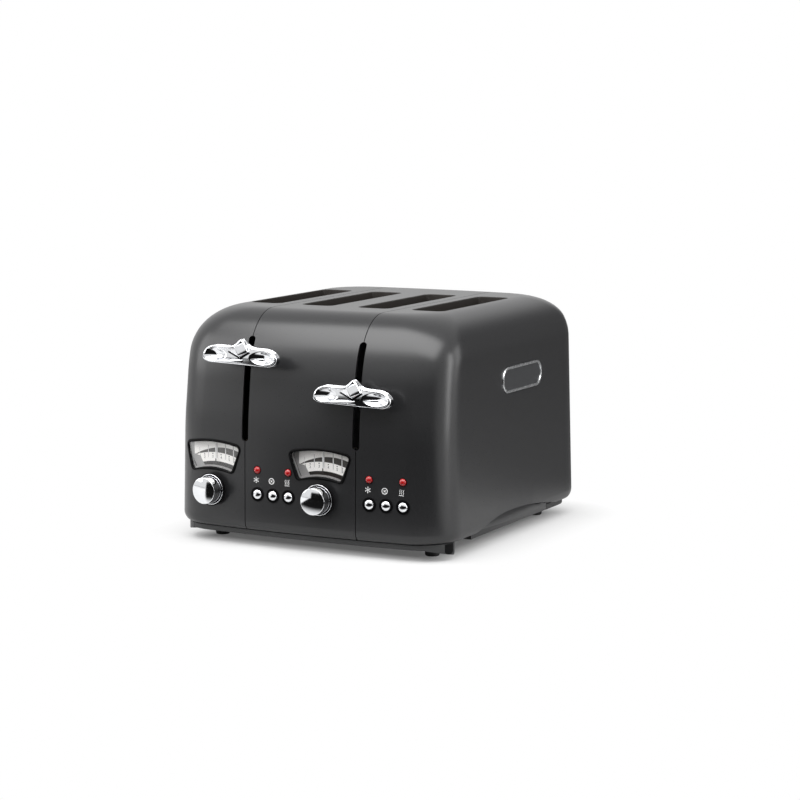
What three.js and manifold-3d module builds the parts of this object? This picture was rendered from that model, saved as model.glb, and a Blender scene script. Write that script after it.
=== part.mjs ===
// Four-slot toaster with two lifting units side by side.
// All lengths are in millimetres. X runs to the right, Y to the back and Z up from the floor.
// The left unit rests with its lever pushed up to lift the slices high, the right unit at its normal height.
import * as THREE from "three";
import { mergeVertices } from "three/addons/utils/BufferGeometryUtils.js";
import Module from "manifold-3d";

const wasm = await Module();
wasm.setup();

// Driving dimensions
// Places and widths that follow the body are shares of its size or steps from its front, back and side.

const body = {
  width: 300.8,
  depth: 318.7,
  bulge: 7,
  bottom: 17.3,
  top: 229.3,
  wall: 2,
  draftFrom: 55,
  sideDraftShare: 0.0182,
  frontDraftShare: 0.0189,
  cornerFront: 35.6,
  cornerRear: 31.9,
  sideRound: { across: 41.2, high: 42.4, power: 2 },
  frontRound: { across: 44.9, high: 69, power: 2.4 },
  rearRound: { across: 39.9, high: 24.5, power: 2 },
  lean: { fromShare: 0.458, ease: 30, share: 0.095 },
  hem: { across: 5.3, high: 9.9 },
};
const frontY = -body.depth / 2;
const rearY = body.depth / 2;
const sideX0 = body.width / 2;
const across = (share) => body.width * share;
const level = (share) => body.top * share;

const fit = 0.3;
const seam = { gap: 0.8, relief: 3.4 };
const unitOffset = across(0.20312);
const slotSizes = { spacingShare: 0.19614, widthShare: 0.11602, behindFront: 81.85, beforeRear: 84.05 };
const slot = {
  spacing: across(slotSizes.spacingShare),
  width: across(slotSizes.widthShare),
  front: frontY + slotSizes.behindFront,
  rear: rearY - slotSizes.beforeRear,
  corner: 8,
  lip: 11,
  lipWall: 1.2,
};
const leverSlot = { width: 7.5, low: level(0.45312), high: level(0.89272) };
const archSizes = { behindFront: 69.35, beforeRear: 48.35, peakShare: 0.047 };
const arch = {
  front: frontY + archSizes.behindFront,
  peak: -body.depth * archSizes.peakShare,
  rear: rearY - archSizes.beforeRear,
  low: 16,
  high: 29.5,
  reach: 12,
};
const base = { bottom: 11.4, skirtInset: 4.9, skirt: 5, floor: 2.4, rim: 2, rimHigh: 7 };
const notch = { behindFront: 28, beforeTray: 3, deep: 22 };
const footSizes = { beforeSide: 32.7, beforeEnd: 42.55 };
const foot = {
  x: sideX0 - footSizes.beforeSide,
  y: rearY - footSizes.beforeEnd,
  radius: 6.8,
  topRadius: 8,
  plugRadius: 3.6,
  plugHigh: 1.8,
  bevel: 1.2,
};

const knob = {
  offset: -across(0.12301),
  z: 54.5,
  faceRadius: 12.9,
  rootRadius: 13.6,
  high: 18.1,
  bevel: 1.6,
  dish: 0.7,
  ringRadius: 16,
  ringThick: 1.7,
  neckRadius: 11.6,
  neckHigh: 1.6,
  lift: 0.5,
  shaftRadius: 3,
  shaftLong: 24,
};
const button = {
  offsets: [0.0482, 0.10622, 0.16423].map(across),
  z: 53.5,
  radius: 4.8,
  proud: 1.5,
  crown: 1.1,
  stemRadius: 3.4,
  headDeep: 4.2,
  stemDeep: 11,
};
const collar = { outer: 6.2, proud: 0.6, flange: 1.8, flangeHigh: 17, flangePast: 6.55, deep: 3 };
const lamp = {
  offsets: [0.04721, 0.1629].map(across),
  z: 77.1,
  radius: 3.6,
  dome: 2.6,
  deep: 8,
  flangeRadius: 4.6,
  flange: 1.2,
};
const gauge = {
  topHalf: across(0.10106),
  topZ: 41.6,
  crown: 49,
  lowHalf: across(0.07048),
  lowZ: 17.4,
  lowCrown: 26.6,
  corner: 3.4,
  ring: 1.5,
  proud: 0.7,
  ringDeep: 3.4,
  lensDeep: 1.5,
  dialDeep: 7.2,
  dialThick: 1,
  dialMargin: 1.6,
  rim: 1,
};
const needle = { width: 1.3, thick: 0.7, deep: 4.6, hub: 4.9, bore: 3.4, reach: 43 };
const badge = {
  y: 17.6,
  z: level(0.68993),
  long: 90,
  high: 26,
  thick: 2.4,
  proud: 1.3,
  ring: 2.4,
  recess: 0.9,
  edge: 0.5,
};

const lift = { normal: level(0.68033), high: level(0.81989) };
const carriageSizes = { behindFront: 47.35, tipAhead: 14.65 };
const carriage = {
  y: frontY + carriageSizes.behindFront,
  bush: 6.4,
  bushHigh: 22,
  yokeThick: 3,
  yokeHigh: 12,
  arm: 2.6,
  armHigh: 9,
  armTip: frontY - carriageSizes.tipAhead,
};
const chamberSizes = { beforeSlot: 4.5, behindSlot: 4.7, pastHeater: 7.9, belowTop: 10.3 };
const chamber = {
  front: slot.front - chamberSizes.beforeSlot,
  rear: slot.rear + chamberSizes.behindSlot,
  low: 15.6,
  high: body.top - chamberSizes.belowTop,
  thick: 1,
  slit: 4,
  slitLow: level(0.35761),
  cut: 22,
};
const rackSizes = { behindRod: 14, pastChamber: 8 };
const rack = {
  below: 18,
  thick: 2,
  high: 7,
  front: carriage.y + rackSizes.behindRod,
  rear: chamber.rear + rackSizes.pastChamber,
  tooth: 5,
  teeth: 4,
  toothHigh: 3,
};
const rodSizes = { belowTop: 12.3 };
const rod = { radius: 2.5, low: 15.6, high: body.top - rodSizes.belowTop, clear: 0.3 };
const coil = { wire: 0.6, radius: 4.6, curls: 6, steps: 6, sides: 4 };
const bracketSizes = { belowTop: 17.3 };
const bracket = { half: 11, thick: 1.2, z: body.top - bracketSizes.belowTop, past: 6, hole: 2.8 };
const heater = {
  low: level(0.37505),
  high: level(0.91583),
  thick: 1.1,
  offset: across(0.1762),
  tabLow: level(0.61055),
  tabHigh: level(0.66289),
  ribs: 4,
  rib: 0.6,
  ribWide: 2.2,
};
chamber.half = unitOffset + heater.offset + chamberSizes.pastHeater;
const guard = {
  inset: 1.4,
  wire: 0.9,
  low: level(0.3925),
  high: level(0.90711),
  bars: 6,
  rail: 1.1,
  swing: 4,
  reach: 6,
};
const traySizes = { behindPlate: 10.2, beforePlate: 8.2, beforeSide: 8.2, faceBefore: 8.2, faceBehind: 18.8 };
const tray = {
  front: chamber.front + traySizes.behindPlate,
  rear: chamber.rear - traySizes.beforePlate,
  outer: sideX0 - traySizes.beforeSide,
  inner: 6,
  low: 13,
  high: 16.8,
  floor: 1,
  wall: 1.2,
  clear: 0.7,
  face: 2.7,
};
tray.faceFront = tray.front - traySizes.faceBefore;
tray.faceRear = tray.rear + traySizes.faceBehind;
const boardSizes = { behindFront: 21.35 };
const board = {
  y: frontY + boardSizes.behindFront,
  thick: 1.6,
  half: across(0.08976),
  high: 98,
  magnet: { half: 9, deep: 18, low: 60, high: 82 },
};
const inlet = {
  x: across(0.31915),
  z: 36,
  radius: 7.2,
  boreRadius: 3.2,
  collarRadius: 9.4,
  proud: 4.2,
  collarThick: 2.2,
  inside: 9,
};
const leverSizes = { ahead: 12.45 };
const lever = {
  back: frontY - leverSizes.ahead,
  x: 1.3,
  half: 40.7,
  thick: 8.4,
  top: 8.9,
  low: 8.2,
  middle: -2.1,
  topTiltShare: 0.034,
  lowTiltShare: 0.03,
  middleTiltShare: 0.0135,
  topEnd: 15,
  lowEnd: 10.5,
  peak: { x: 0.4, up: 7.6, half: 6, power: 1.6 },
  rim: 1.5,
  hollows: [
    { x: -26.8, z: 0.3, long: 12.4, high: 5.9, deep: 4.2 },
    { x: 26.2, z: -0.6, long: 13.4, high: 5.9, deep: 4.6 },
  ],
  leaf: { from: -29.5, to: 20.5, z: -5, half: 3, front: 11.6, deep: 5 },
  neck: { half: 5, high: 7, deep: 3.4, sunk: 1 },
};
const diamond = {
  left: { x: -8, z: 4.9, out: 9.4 },
  low: { x: 3.4, z: -0.8, out: 10.6 },
  right: { x: 13.5, z: 4.3, out: 10.4 },
  top: { x: 5, z: 14.9, out: 9.6 },
  foldTop: { x: -0.6, z: 10.6, out: 13.4 },
  foldLow: { x: 3, z: 1.8, out: 14.2 },
  back: 6,
};

const detail = {
  corner: 5,
  edge: 4,
  turn: 18,
  smallTurn: 10,
  shapeCurve: 4,
  leverColumns: 20,
  leafSteps: 6,
  weld: 1e-4,
};

// Materials

const finish = (color, metalness, roughness, opacity = 1) =>
  new THREE.MeshStandardMaterial({ color, metalness, roughness, opacity, transparent: opacity < 1 });
const paint = {
  housing: finish("#3c3d3f", 0.4, 0.35),
  chrome: finish("#d9dbdd", 1, 0.1),
  black: finish("#141414", 0, 0.5),
  redLens: finish("#8c1414", 0, 0.2),
  clear: finish("#eef2f2", 0, 0.05, 0.3),
  dial: finish("#efece6", 0, 0.5),
  needle: finish("#cfc9c4", 0, 0.5),
  badge: finish("#8b8d90", 0.9, 0.3),
  steel: finish("#9a9c9e", 0.9, 0.4),
  spring: finish("#7f8183", 1, 0.3),
  board: finish("#2c5a38", 0, 0.5),
  mica: finish("#b3a78d", 0, 0.7),
  rubber: finish("#1b1b1b", 0, 0.9),
};

// Small tools

// A closed geometry as a solid that can be joined and cut; its faces are turned to point outwards.
function solid(geometry) {
  const bare = new THREE.BufferGeometry();
  bare.setAttribute("position", geometry.getAttribute("position"));
  if (geometry.index) bare.setIndex(geometry.index);
  const merged = mergeVertices(bare, detail.weld);
  const corners = merged.index.array;
  const kept = [];
  for (let i = 0; i < corners.length; i += 3) {
    const [a, b, c] = [corners[i], corners[i + 1], corners[i + 2]];
    if (a !== b && b !== c && c !== a) kept.push([a, b, c]);
  }
  const build = (faces) =>
    new wasm.Manifold(
      new wasm.Mesh({
        numProp: 3,
        vertProperties: new Float32Array(merged.getAttribute("position").array),
        triVerts: new Uint32Array(faces.flat()),
      }),
    );
  const made = build(kept);
  return made.volume() < 0 ? build(kept.map(([a, b, c]) => [a, c, b])) : made;
}

const joined = (parts) => parts.reduce((sum, part) => sum.add(part));

function block(x0, x1, y0, y1, z0, z1) {
  const box = new THREE.BoxGeometry(x1 - x0, y1 - y0, z1 - z0);
  box.translate((x0 + x1) / 2, (y0 + y1) / 2, (z0 + z1) / 2);
  return solid(box);
}

const extruded = (shape, depth) =>
  new THREE.ExtrudeGeometry(shape, { depth, bevelEnabled: false, curveSegments: detail.shapeCurve });

function alongZ(shape, z0, z1) {
  return solid(extruded(shape, z1 - z0).translate(0, 0, z0));
}

// The shape's own x and y become X and Z.
function alongY(shape, y0, y1) {
  return solid(extruded(shape, y1 - y0).rotateX(Math.PI / 2).translate(0, y1, 0));
}

// The shape's own x and y become Y and Z.
function alongX(shape, x0, x1) {
  const turn = new THREE.Matrix4().makeBasis(
    new THREE.Vector3(0, 1, 0),
    new THREE.Vector3(0, 0, 1),
    new THREE.Vector3(1, 0, 0),
  );
  return solid(extruded(shape, x1 - x0).applyMatrix4(turn).translate(x0, 0, 0));
}

function roundedRectangle(x0, x1, y0, y1, r) {
  const shape = new THREE.Shape();
  shape.moveTo(x0 + r, y0);
  shape.lineTo(x1 - r, y0);
  shape.absarc(x1 - r, y0 + r, r, -Math.PI / 2, 0);
  shape.lineTo(x1, y1 - r);
  shape.absarc(x1 - r, y1 - r, r, 0, Math.PI / 2);
  shape.lineTo(x0 + r, y1);
  shape.absarc(x0 + r, y1 - r, r, Math.PI / 2, Math.PI);
  shape.lineTo(x0, y0 + r);
  shape.absarc(x0 + r, y0 + r, r, Math.PI, Math.PI * 1.5);
  return shape;
}

// A profile of [radius, height] points turned about the Z axis.
function turned(profile, segments = detail.turn) {
  const points = profile.map(([r, z]) => new THREE.Vector2(r, z));
  return new THREE.LatheGeometry(points, segments).rotateX(Math.PI / 2);
}

const upright = (x, y) => new THREE.Matrix4().makeTranslation(x, y, 0);

function rod3(x, y, radius, z0, z1) {
  const profile = [[0, z0], [radius, z0], [radius, z1], [0, z1]];
  return solid(turned(profile, detail.smallTurn).applyMatrix4(upright(x, y)));
}

const group = new THREE.Group();

function add(name, part, material) {
  const got = part.getMesh();
  const geometry = new THREE.BufferGeometry();
  const positions = new Float32Array(got.numVert * 3);
  for (let i = 0; i < got.numVert; i++)
    for (let k = 0; k < 3; k++) positions[i * 3 + k] = got.vertProperties[i * got.numProp + k];
  geometry.setAttribute("position", new THREE.BufferAttribute(positions, 3));
  geometry.setIndex(new THREE.BufferAttribute(new Uint32Array(got.triVerts), 1));
  geometry.computeVertexNormals();
  const mesh = new THREE.Mesh(geometry, material.clone());
  mesh.name = name;
  group.add(mesh);
}

// The body's skin

const rounding = ({ across, high, power }, z) => {
  const t = Math.min(1, Math.max(0, (z - (body.top - high)) / high));
  return across * (1 - (1 - t ** power) ** (1 / power));
};

// How far the front leans back above the controls; the lean sets in softly.
function leanBack(z) {
  const { fromShare, ease, share } = body.lean;
  const over = Math.max(0, z - level(fromShare));
  return over < ease ? (share * over * over) / (ease * 2) : share * (over - ease / 2);
}

function hemInset(z) {
  const t = Math.min(1, Math.max(0, (body.bottom + body.hem.high - z) / body.hem.high));
  return body.hem.across * (1 - Math.sqrt(1 - t * t));
}

const draft = (share, z) => share * (z - body.draftFrom);

// The plan outline at one height, grown or shrunk all round. It bows out at the middle of the front and back.
function planOutline(z, grow) {
  const hem = hemInset(z);
  const halfX = body.width / 2 - rounding(body.sideRound, z) - draft(body.sideDraftShare, z) - hem + grow;
  const ends = [
    { y: -1, round: body.frontRound, corner: body.cornerFront },
    { y: 1, round: body.rearRound, corner: body.cornerRear },
  ];
  const points = [];
  for (const end of ends) {
    const lean = end.y < 0 ? leanBack(z) : 0;
    const halfY = body.depth / 2 - rounding(end.round, z) - draft(body.frontDraftShare, z) - lean - hem + grow;
    const r = end.corner + grow;
    const start = end.y < 0 ? Math.PI : 0;
    const row = [];
    for (let side = 0; side < 2; side++)
      for (let i = 0; i <= detail.corner; i++) {
        const angle = start + (side + i / detail.corner) * (Math.PI / 2);
        const centreX = (halfX - r) * end.y * (side ? -1 : 1);
        row.push([centreX + r * Math.cos(angle), (halfY - r) * end.y + r * Math.sin(angle)]);
        if (!side && i === detail.corner)
          for (let k = 1; k < detail.edge; k++)
            row.push([centreX * (1 - (2 * k) / detail.edge), halfY * end.y]);
      }
    for (const [x, y] of row)
      points.push([x, y * (1 + (body.bulge / halfY) * (1 - (x / halfX) ** 2))]);
  }
  return points;
}

// Closed skin through rings of plan points, each ring at its own height.
function loft(rings) {
  const count = rings[0].points.length;
  const positions = [];
  const faces = [];
  for (const ring of rings) for (const [x, y] of ring.points) positions.push(x, y, ring.z);
  const last = rings.length - 1;
  const lowCentre = rings.length * count;
  positions.push(0, 0, rings[0].z, 0, 0, rings[last].z);
  for (let j = 0; j < count; j++) {
    const next = (j + 1) % count;
    for (let i = 0; i < last; i++) {
      const [a, b, c, d] = [i * count + j, i * count + next, (i + 1) * count + next, (i + 1) * count + j];
      faces.push(a, b, c, a, c, d);
    }
    faces.push(lowCentre, next, j, lowCentre + 1, last * count + j, last * count + next);
  }
  const geometry = new THREE.BufferGeometry();
  geometry.setAttribute("position", new THREE.Float32BufferAttribute(positions, 3));
  geometry.setIndex(faces);
  return solid(geometry);
}

const hemShares = [0, 0.2, 1];
const roundShares = [0, 0.25, 0.48, 0.68, 0.84, 0.95, 1];
const hemLevels = hemShares.map((share) => body.bottom + share * body.hem.high);
const topLevels = [
  body.top - body.frontRound.high,
  body.top - (body.frontRound.high + body.sideRound.high) / 2,
  ...roundShares.map((share) => body.top - body.sideRound.high * (1 - share)),
];
const midTopLevel = body.top - body.rearRound.high * (1 - roundShares[3]);
const leanLevels = [0, body.lean.ease].map((above) => level(body.lean.fromShare) + above);
const levels = [...leanLevels, ...topLevels, midTopLevel].sort((a, b) => a - b);

const outerSkin = (grow) =>
  loft([...hemLevels, ...levels].map((z) => ({ z, points: planOutline(z, grow) })));

const innerSkin = (depth) =>
  loft([
    { z: body.bottom - body.wall, points: planOutline(body.bottom, -depth) },
    ...hemLevels.map((z) => ({ z, points: planOutline(z, -depth) })),
    ...levels.map((z) => ({ z: z - depth, points: planOutline(z, -depth) })),
  ]);

// A layer of the front wall where the controls are, between two offsets from the skin.
function frontLayer(out, inward) {
  const span = (grow, past) =>
    loft([gaugeBand.low - past, gaugeBand.high + past].map((z) => ({ z, points: planOutline(z, grow) })));
  return span(out, 0).subtract(span(-inward, fit));
}
const gaugeBand = { low: knob.z + gauge.lowZ - gauge.corner * 3, high: knob.z + gauge.crown + gauge.corner };

const surfaceY = (x, z) => {
  const halfX = body.width / 2 - draft(body.sideDraftShare, z);
  const halfY = body.depth / 2 - draft(body.frontDraftShare, z);
  return -halfY - body.bulge * (1 - (x / halfX) ** 2);
};

// Places a piece made about the Z axis so that it stands out of the front wall at x and z.
function frontPose(x, z) {
  const slope = (2 * body.bulge * x) / (body.width / 2) ** 2;
  const outward = new THREE.Vector3(slope, -1, body.frontDraftShare).normalize();
  const turn = new THREE.Quaternion().setFromUnitVectors(new THREE.Vector3(0, 0, 1), outward);
  return new THREE.Matrix4().compose(
    new THREE.Vector3(x, surfaceY(x, z), z),
    turn,
    new THREE.Vector3(1, 1, 1),
  );
}

// Turns a shape drawn in x and z about the knob's axis into a prism that follows the front wall's direction.
function frontPrism(shape, x, z, from, to) {
  const slope = (2 * body.bulge * x) / (body.width / 2) ** 2;
  const geometry = extruded(shape, to - from).rotateX(Math.PI / 2).translate(0, to, 0);
  geometry.rotateZ(Math.atan(slope)).translate(x, surfaceY(x, z), z);
  return solid(geometry);
}

const units = [
  { side: "left", x: -unitOffset, level: lift.high },
  { side: "right", x: unitOffset, level: lift.normal },
];
const slotCentres = (unit) => [unit.x - slot.spacing / 2, unit.x + slot.spacing / 2];

// Gauge outline

// A fan-shaped window about the knob: arcs above and below, slanted ends and round corners.
function fan(grow) {
  const top = gauge.topHalf + grow;
  const low = gauge.lowHalf + grow;
  const topZ = gauge.topZ + grow * gaugeLean;
  const lowZ = gauge.lowZ - grow;
  const crown = gauge.crown + grow;
  const lowCrown = gauge.lowCrown - grow;
  const r = gauge.corner + grow;
  const lean = (top - low) / (topZ - lowZ);
  const shape = new THREE.Shape();
  shape.moveTo(low - r * fanShares.near, lowZ + r * fanShares.rise);
  shape.quadraticCurveTo(low, lowZ, low + r * lean, lowZ + r);
  shape.lineTo(top - r * lean, topZ - r);
  shape.quadraticCurveTo(top, topZ, top - r, topZ + r * fanShares.rise);
  shape.quadraticCurveTo(0, crown * 2 - topZ - r * fanShares.rise, -top + r, topZ + r * fanShares.rise);
  shape.quadraticCurveTo(-top, topZ, -top + r * lean, topZ - r);
  shape.lineTo(-low - r * lean, lowZ + r);
  shape.quadraticCurveTo(-low, lowZ, -low + r * fanShares.near, lowZ + r * fanShares.rise);
  const lowEnd = lowZ + r * fanShares.rise;
  shape.quadraticCurveTo(0, lowCrown * 2 - lowEnd, low - r * fanShares.near, lowEnd);
  return shape;
}
const gaugeLean = 0.8;
const fanShares = { near: 0.9, rise: 0.35 };

function ringShape(outer, inner, steps = detail.shapeCurve) {
  outer.holes.push(new THREE.Path(inner.getPoints(steps).reverse()));
  return outer;
}

// Housing

function slotTool(x, grow, z0, z1) {
  const half = slot.width / 2 + grow;
  const shape = roundedRectangle(x - half, x + half, slot.front - grow, slot.rear + grow, slot.corner + grow);
  return alongZ(shape, z0, z1);
}

// The shallow arch in the lower edge of each side, grown or shrunk all round.
function archShape(grow) {
  const { peak, low, high } = arch;
  const [front, rear] = [arch.front - grow, arch.rear + grow];
  const shape = new THREE.Shape();
  const under = body.bottom - body.hem.high;
  shape.moveTo(front, under);
  shape.lineTo(front, low + grow);
  shape.quadraticCurveTo((front + peak) / 2, high + grow, peak, high + grow);
  shape.quadraticCurveTo((peak + rear) / 2, high + grow, rear, low + grow);
  shape.lineTo(rear, under);
  return shape;
}

function archTool(sign) {
  const shape = archShape(0);
  const inside = body.width / 2 - arch.reach;
  const outside = body.width / 2 + arch.reach;
  return sign > 0 ? alongX(shape, inside, outside) : alongX(shape, -outside, -inside);
}

function seamTool(x) {
  const far = body.depth;
  const line = block(x - seam.gap / 2, x + seam.gap / 2, -far, far, 0, body.top * 2);
  const shape = new THREE.Shape();
  shape.moveTo(x - seam.relief, 0);
  shape.lineTo(x - seam.relief, body.bottom);
  shape.quadraticCurveTo(x, body.bottom, x, body.bottom + seam.relief);
  shape.quadraticCurveTo(x, body.bottom, x + seam.relief, body.bottom);
  shape.lineTo(x + seam.relief, 0);
  const half = leverSlot.width / 2;
  const opening = roundedRectangle(x - half, x + half, leverSlot.low, leverSlot.high, half - fit);
  return joined([line, alongY(shape, -far, far), alongY(opening, -far, slot.front)]);
}

function controlHoles(unit) {
  const x0 = unit.x;
  const reach = collar.deep * 4;
  const hole = (x, z, r) => {
    const profile = [[0, -reach], [r, -reach], [r, reach], [0, reach]];
    return solid(turned(profile, detail.smallTurn).applyMatrix4(frontPose(x, z)));
  };
  return joined([
    hole(x0 + knob.offset, knob.z, knob.shaftRadius + fit),
    ...button.offsets.map((x) => hole(x0 + x, button.z, collar.outer + fit)),
    ...lamp.offsets.map((x) => hole(x0 + x, lamp.z, lamp.radius + fit)),
    frontPrism(fan(gauge.ring), x0 + knob.offset, knob.z, -reach, reach),
  ]);
}

const slotXs = units.flatMap(slotCentres);
const lips = joined(slotXs.map((x) => slotTool(x, slot.lipWall, body.top - slot.lip, body.top - body.wall / 2)));
const rearHole = solid(
  turned([[0, -body.depth], [inlet.radius + fit, -body.depth], [inlet.radius + fit, 0], [0, 0]], detail.smallTurn)
    .rotateX(Math.PI / 2)
    .translate(inlet.x, 0, inlet.z),
);
let skin = outerSkin(0).subtract(innerSkin(body.wall));
skin = skin.add(lips.intersect(outerSkin(-fit)));
for (const x of slotXs) skin = skin.subtract(slotTool(x, 0, body.top - slot.lip * 2, body.top + slot.lip));
for (const unit of units) skin = skin.subtract(seamTool(unit.x)).subtract(controlHoles(unit));
skin = skin.subtract(archTool(1)).subtract(archTool(-1)).subtract(rearHole);
const badgeHalf = { y: badge.long / 2, z: badge.high / 2 };
const badgeShape = (grow) =>
  roundedRectangle(
    badge.y - badgeHalf.y - grow,
    badge.y + badgeHalf.y + grow,
    badge.z - badgeHalf.z - grow,
    badge.z + badgeHalf.z + grow,
    badgeHalf.z + grow - badge.edge,
  );
const sideX = body.width / 2 - draft(body.sideDraftShare, badge.z);
skin = skin.subtract(alongX(badgeShape(fit), sideX - badge.thick + badge.proud, body.width));

const far = body.depth;
const cutX = (x0, x1) => block(x0, x1, -far, far, 0, body.top * 2);
add("housing_left", skin.intersect(cutX(-body.width, -unitOffset)), paint.housing);
add("housing_middle", skin.intersect(cutX(-unitOffset, unitOffset)), paint.housing);
add("housing_right", skin.intersect(cutX(unitOffset, body.width)), paint.housing);

// Base, feet and crumb trays

const pan = (z0, z1, inset) =>
  loft([z0, z1].map((z) => ({ z, points: planOutline(body.draftFrom, -inset) })));

const rimInset = base.skirtInset + base.skirt;
const baseTop = body.bottom - fit;
let baseSolid = pan(base.bottom, baseTop, base.skirtInset);
baseSolid = baseSolid.subtract(pan(base.bottom + base.floor, body.top, rimInset));
baseSolid = baseSolid.add(
  pan(base.bottom, body.bottom + base.rimHigh, rimInset - base.rim / 2).subtract(
    pan(base.bottom + base.floor, body.top, rimInset + base.rim / 2),
  ),
);

// The same block on the right (sign 1) or mirrored to the left (sign -1).
const sided = (sign, x0, x1, ...rest) => (sign > 0 ? block(x0, x1, ...rest) : block(-x1, -x0, ...rest));

const faceIn = tray.outer - tray.face;
baseSolid = baseSolid.intersect(block(-tray.outer, tray.outer, -body.depth, body.depth, 0, body.top));
for (const sign of [-1, 1]) {
  const heights = [base.bottom - fit, body.top];
  baseSolid = baseSolid
    .subtract(sided(sign, tray.inner - fit, body.width, tray.front - fit, tray.rear + fit, ...heights))
    .subtract(sided(sign, faceIn - fit, body.width, tray.faceFront - fit, tray.faceRear + fit, ...heights))
    .subtract(
      sided(sign, sideX0 - notch.deep, body.width, frontY + notch.behindFront, tray.faceFront - notch.beforeTray, ...heights),
    );
}
const railWide = slot.lipWall * 3;
for (const sign of [-1, 1]) {
  const ledge = (y0, y1) => sided(sign, tray.inner, faceIn - fit, y0, y1, base.bottom, tray.low - fit);
  baseSolid = baseSolid
    .add(ledge(tray.front - base.floor, tray.front + railWide))
    .add(ledge(tray.rear - railWide, tray.rear + base.floor));
}
for (const sx of [-1, 1])
  for (const sy of [-1, 1])
    baseSolid = baseSolid.subtract(
      rod3(sx * foot.x, sy * foot.y, foot.plugRadius + fit, 0, base.bottom + foot.plugHigh + fit),
    );
for (const unit of units) {
  const socket = rod3(unit.x, carriage.y, rod.radius * 2, base.bottom, base.bottom + base.floor * 2);
  baseSolid = baseSolid.add(socket).subtract(rod3(unit.x, carriage.y, rod.radius + fit, rod.low - fit, body.top));
}
const plateFoot = (y) =>
  block(-chamber.half, chamber.half, y - base.floor, y + chamber.thick + base.floor, base.bottom, base.bottom + base.floor * 2);
for (const y of [chamber.front, chamber.rear])
  baseSolid = baseSolid
    .add(plateFoot(y))
    .subtract(
      block(
        -chamber.half - fit,
        chamber.half + fit,
        y - fit,
        y + chamber.thick + fit,
        chamber.low - fit,
        body.top,
      ),
    );
add("base_pan", baseSolid, paint.black);

const footNames = { "-1-1": "foot_front_left", "1-1": "foot_front_right", "-11": "foot_rear_left", "11": "foot_rear_right" };
for (const sx of [-1, 1])
  for (const sy of [-1, 1]) {
    const profile = [
      [0, 0],
      [foot.radius - foot.bevel, 0],
      [foot.radius, foot.bevel],
      [foot.topRadius, base.bottom - fit],
      [foot.plugRadius, base.bottom - fit],
      [foot.plugRadius, base.bottom + foot.plugHigh],
      [0, base.bottom + foot.plugHigh],
    ];
    const shape = turned(profile, detail.smallTurn).applyMatrix4(upright(sx * foot.x, sy * foot.y));
    add(footNames[`${sx}${sy}`], solid(shape), paint.rubber);
  }

// A shallow pan that pulls out sideways, with an upright front behind the side's arch.
function trayPiece(sign) {
  const out = tray.outer;
  const x = (a, b) => (sign > 0 ? [a, b] : [-b, -a]);
  const whole = block(...x(tray.inner, out), tray.front, tray.rear, tray.low, tray.high);
  const hollow = block(
    ...x(tray.inner + tray.wall, faceIn),
    tray.front + tray.wall,
    tray.rear - tray.wall,
    tray.low + tray.floor,
    tray.high * 2,
  );
  const face = block(...x(faceIn, out), tray.faceFront, tray.faceRear, base.bottom, arch.high).intersect(
    alongX(archShape(-tray.clear), -body.width, body.width),
  );
  return whole.add(face).subtract(hollow);
}
add("crumb_tray_left", trayPiece(-1), paint.steel);
add("crumb_tray_right", trayPiece(1), paint.steel);

// Controls on the front

function knobPiece(unit) {
  const k = knob;
  const profile = [
    [0, k.high - k.dish],
    [k.faceRadius * knobShares.dish, k.high],
    [k.faceRadius - k.bevel, k.high],
    [k.faceRadius - k.bevel * knobShares.soft, k.high - k.bevel * knobShares.soft],
    [k.faceRadius, k.high - k.bevel],
    [k.rootRadius, k.lift + k.ringThick + k.neckHigh],
    [k.neckRadius, k.lift + k.ringThick + k.neckHigh],
    [k.neckRadius, k.lift + k.ringThick],
    [k.ringRadius - k.ringThick * knobShares.soft, k.lift + k.ringThick],
    [k.ringRadius, k.lift + k.ringThick * knobShares.soft],
    [k.ringRadius, k.lift],
    [k.shaftRadius, k.lift],
    [k.shaftRadius, -k.shaftLong],
    [0, -k.shaftLong],
  ];
  return solid(turned(profile).applyMatrix4(frontPose(unit.x + k.offset, k.z)));
}
const knobShares = { dish: 0.72, soft: 0.3 };

function buttonPiece(unit, offset) {
  const b = button;
  const profile = [
    [0, b.proud + b.crown],
    [b.radius * buttonShares.mid, b.proud + b.crown * buttonShares.high],
    [b.radius * buttonShares.wide, b.proud + b.crown * buttonShares.low],
    [b.radius, b.proud],
    [b.radius, -b.headDeep],
    [b.stemRadius, -b.headDeep],
    [b.stemRadius, -b.stemDeep],
    [0, -b.stemDeep],
  ];
  return solid(turned(profile, detail.smallTurn).applyMatrix4(frontPose(unit.x + offset, b.z)));
}
const buttonShares = { mid: 0.45, high: 0.85, wide: 0.8, low: 0.45 };

// The strip behind the wall that carries the black collar of each button.
function collarStrip(unit) {
  const middle = unit.x + button.offsets[1];
  const span = button.offsets[2] - button.offsets[0] + collar.flangePast * 2;
  const half = span / 2;
  const top = -body.wall - fit * 3;
  const low = top - collar.flange;
  const pose = frontPose(middle, button.z);
  const plate = new THREE.BoxGeometry(span, collar.flangeHigh, collar.flange);
  plate.translate(0, 0, (top + low) / 2);
  let strip = solid(plate.applyMatrix4(pose));
  const tube = (offset, r, z0, z1) =>
    solid(
      turned([[0, z0], [r, z0], [r, z1], [0, z1]], detail.smallTurn).applyMatrix4(frontPose(unit.x + offset, button.z)),
    );
  for (const offset of button.offsets) strip = strip.add(tube(offset, collar.outer, low, collar.proud));
  for (const offset of button.offsets)
    strip = strip.subtract(tube(offset, button.radius + fit, -half, half));
  return strip;
}

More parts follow.
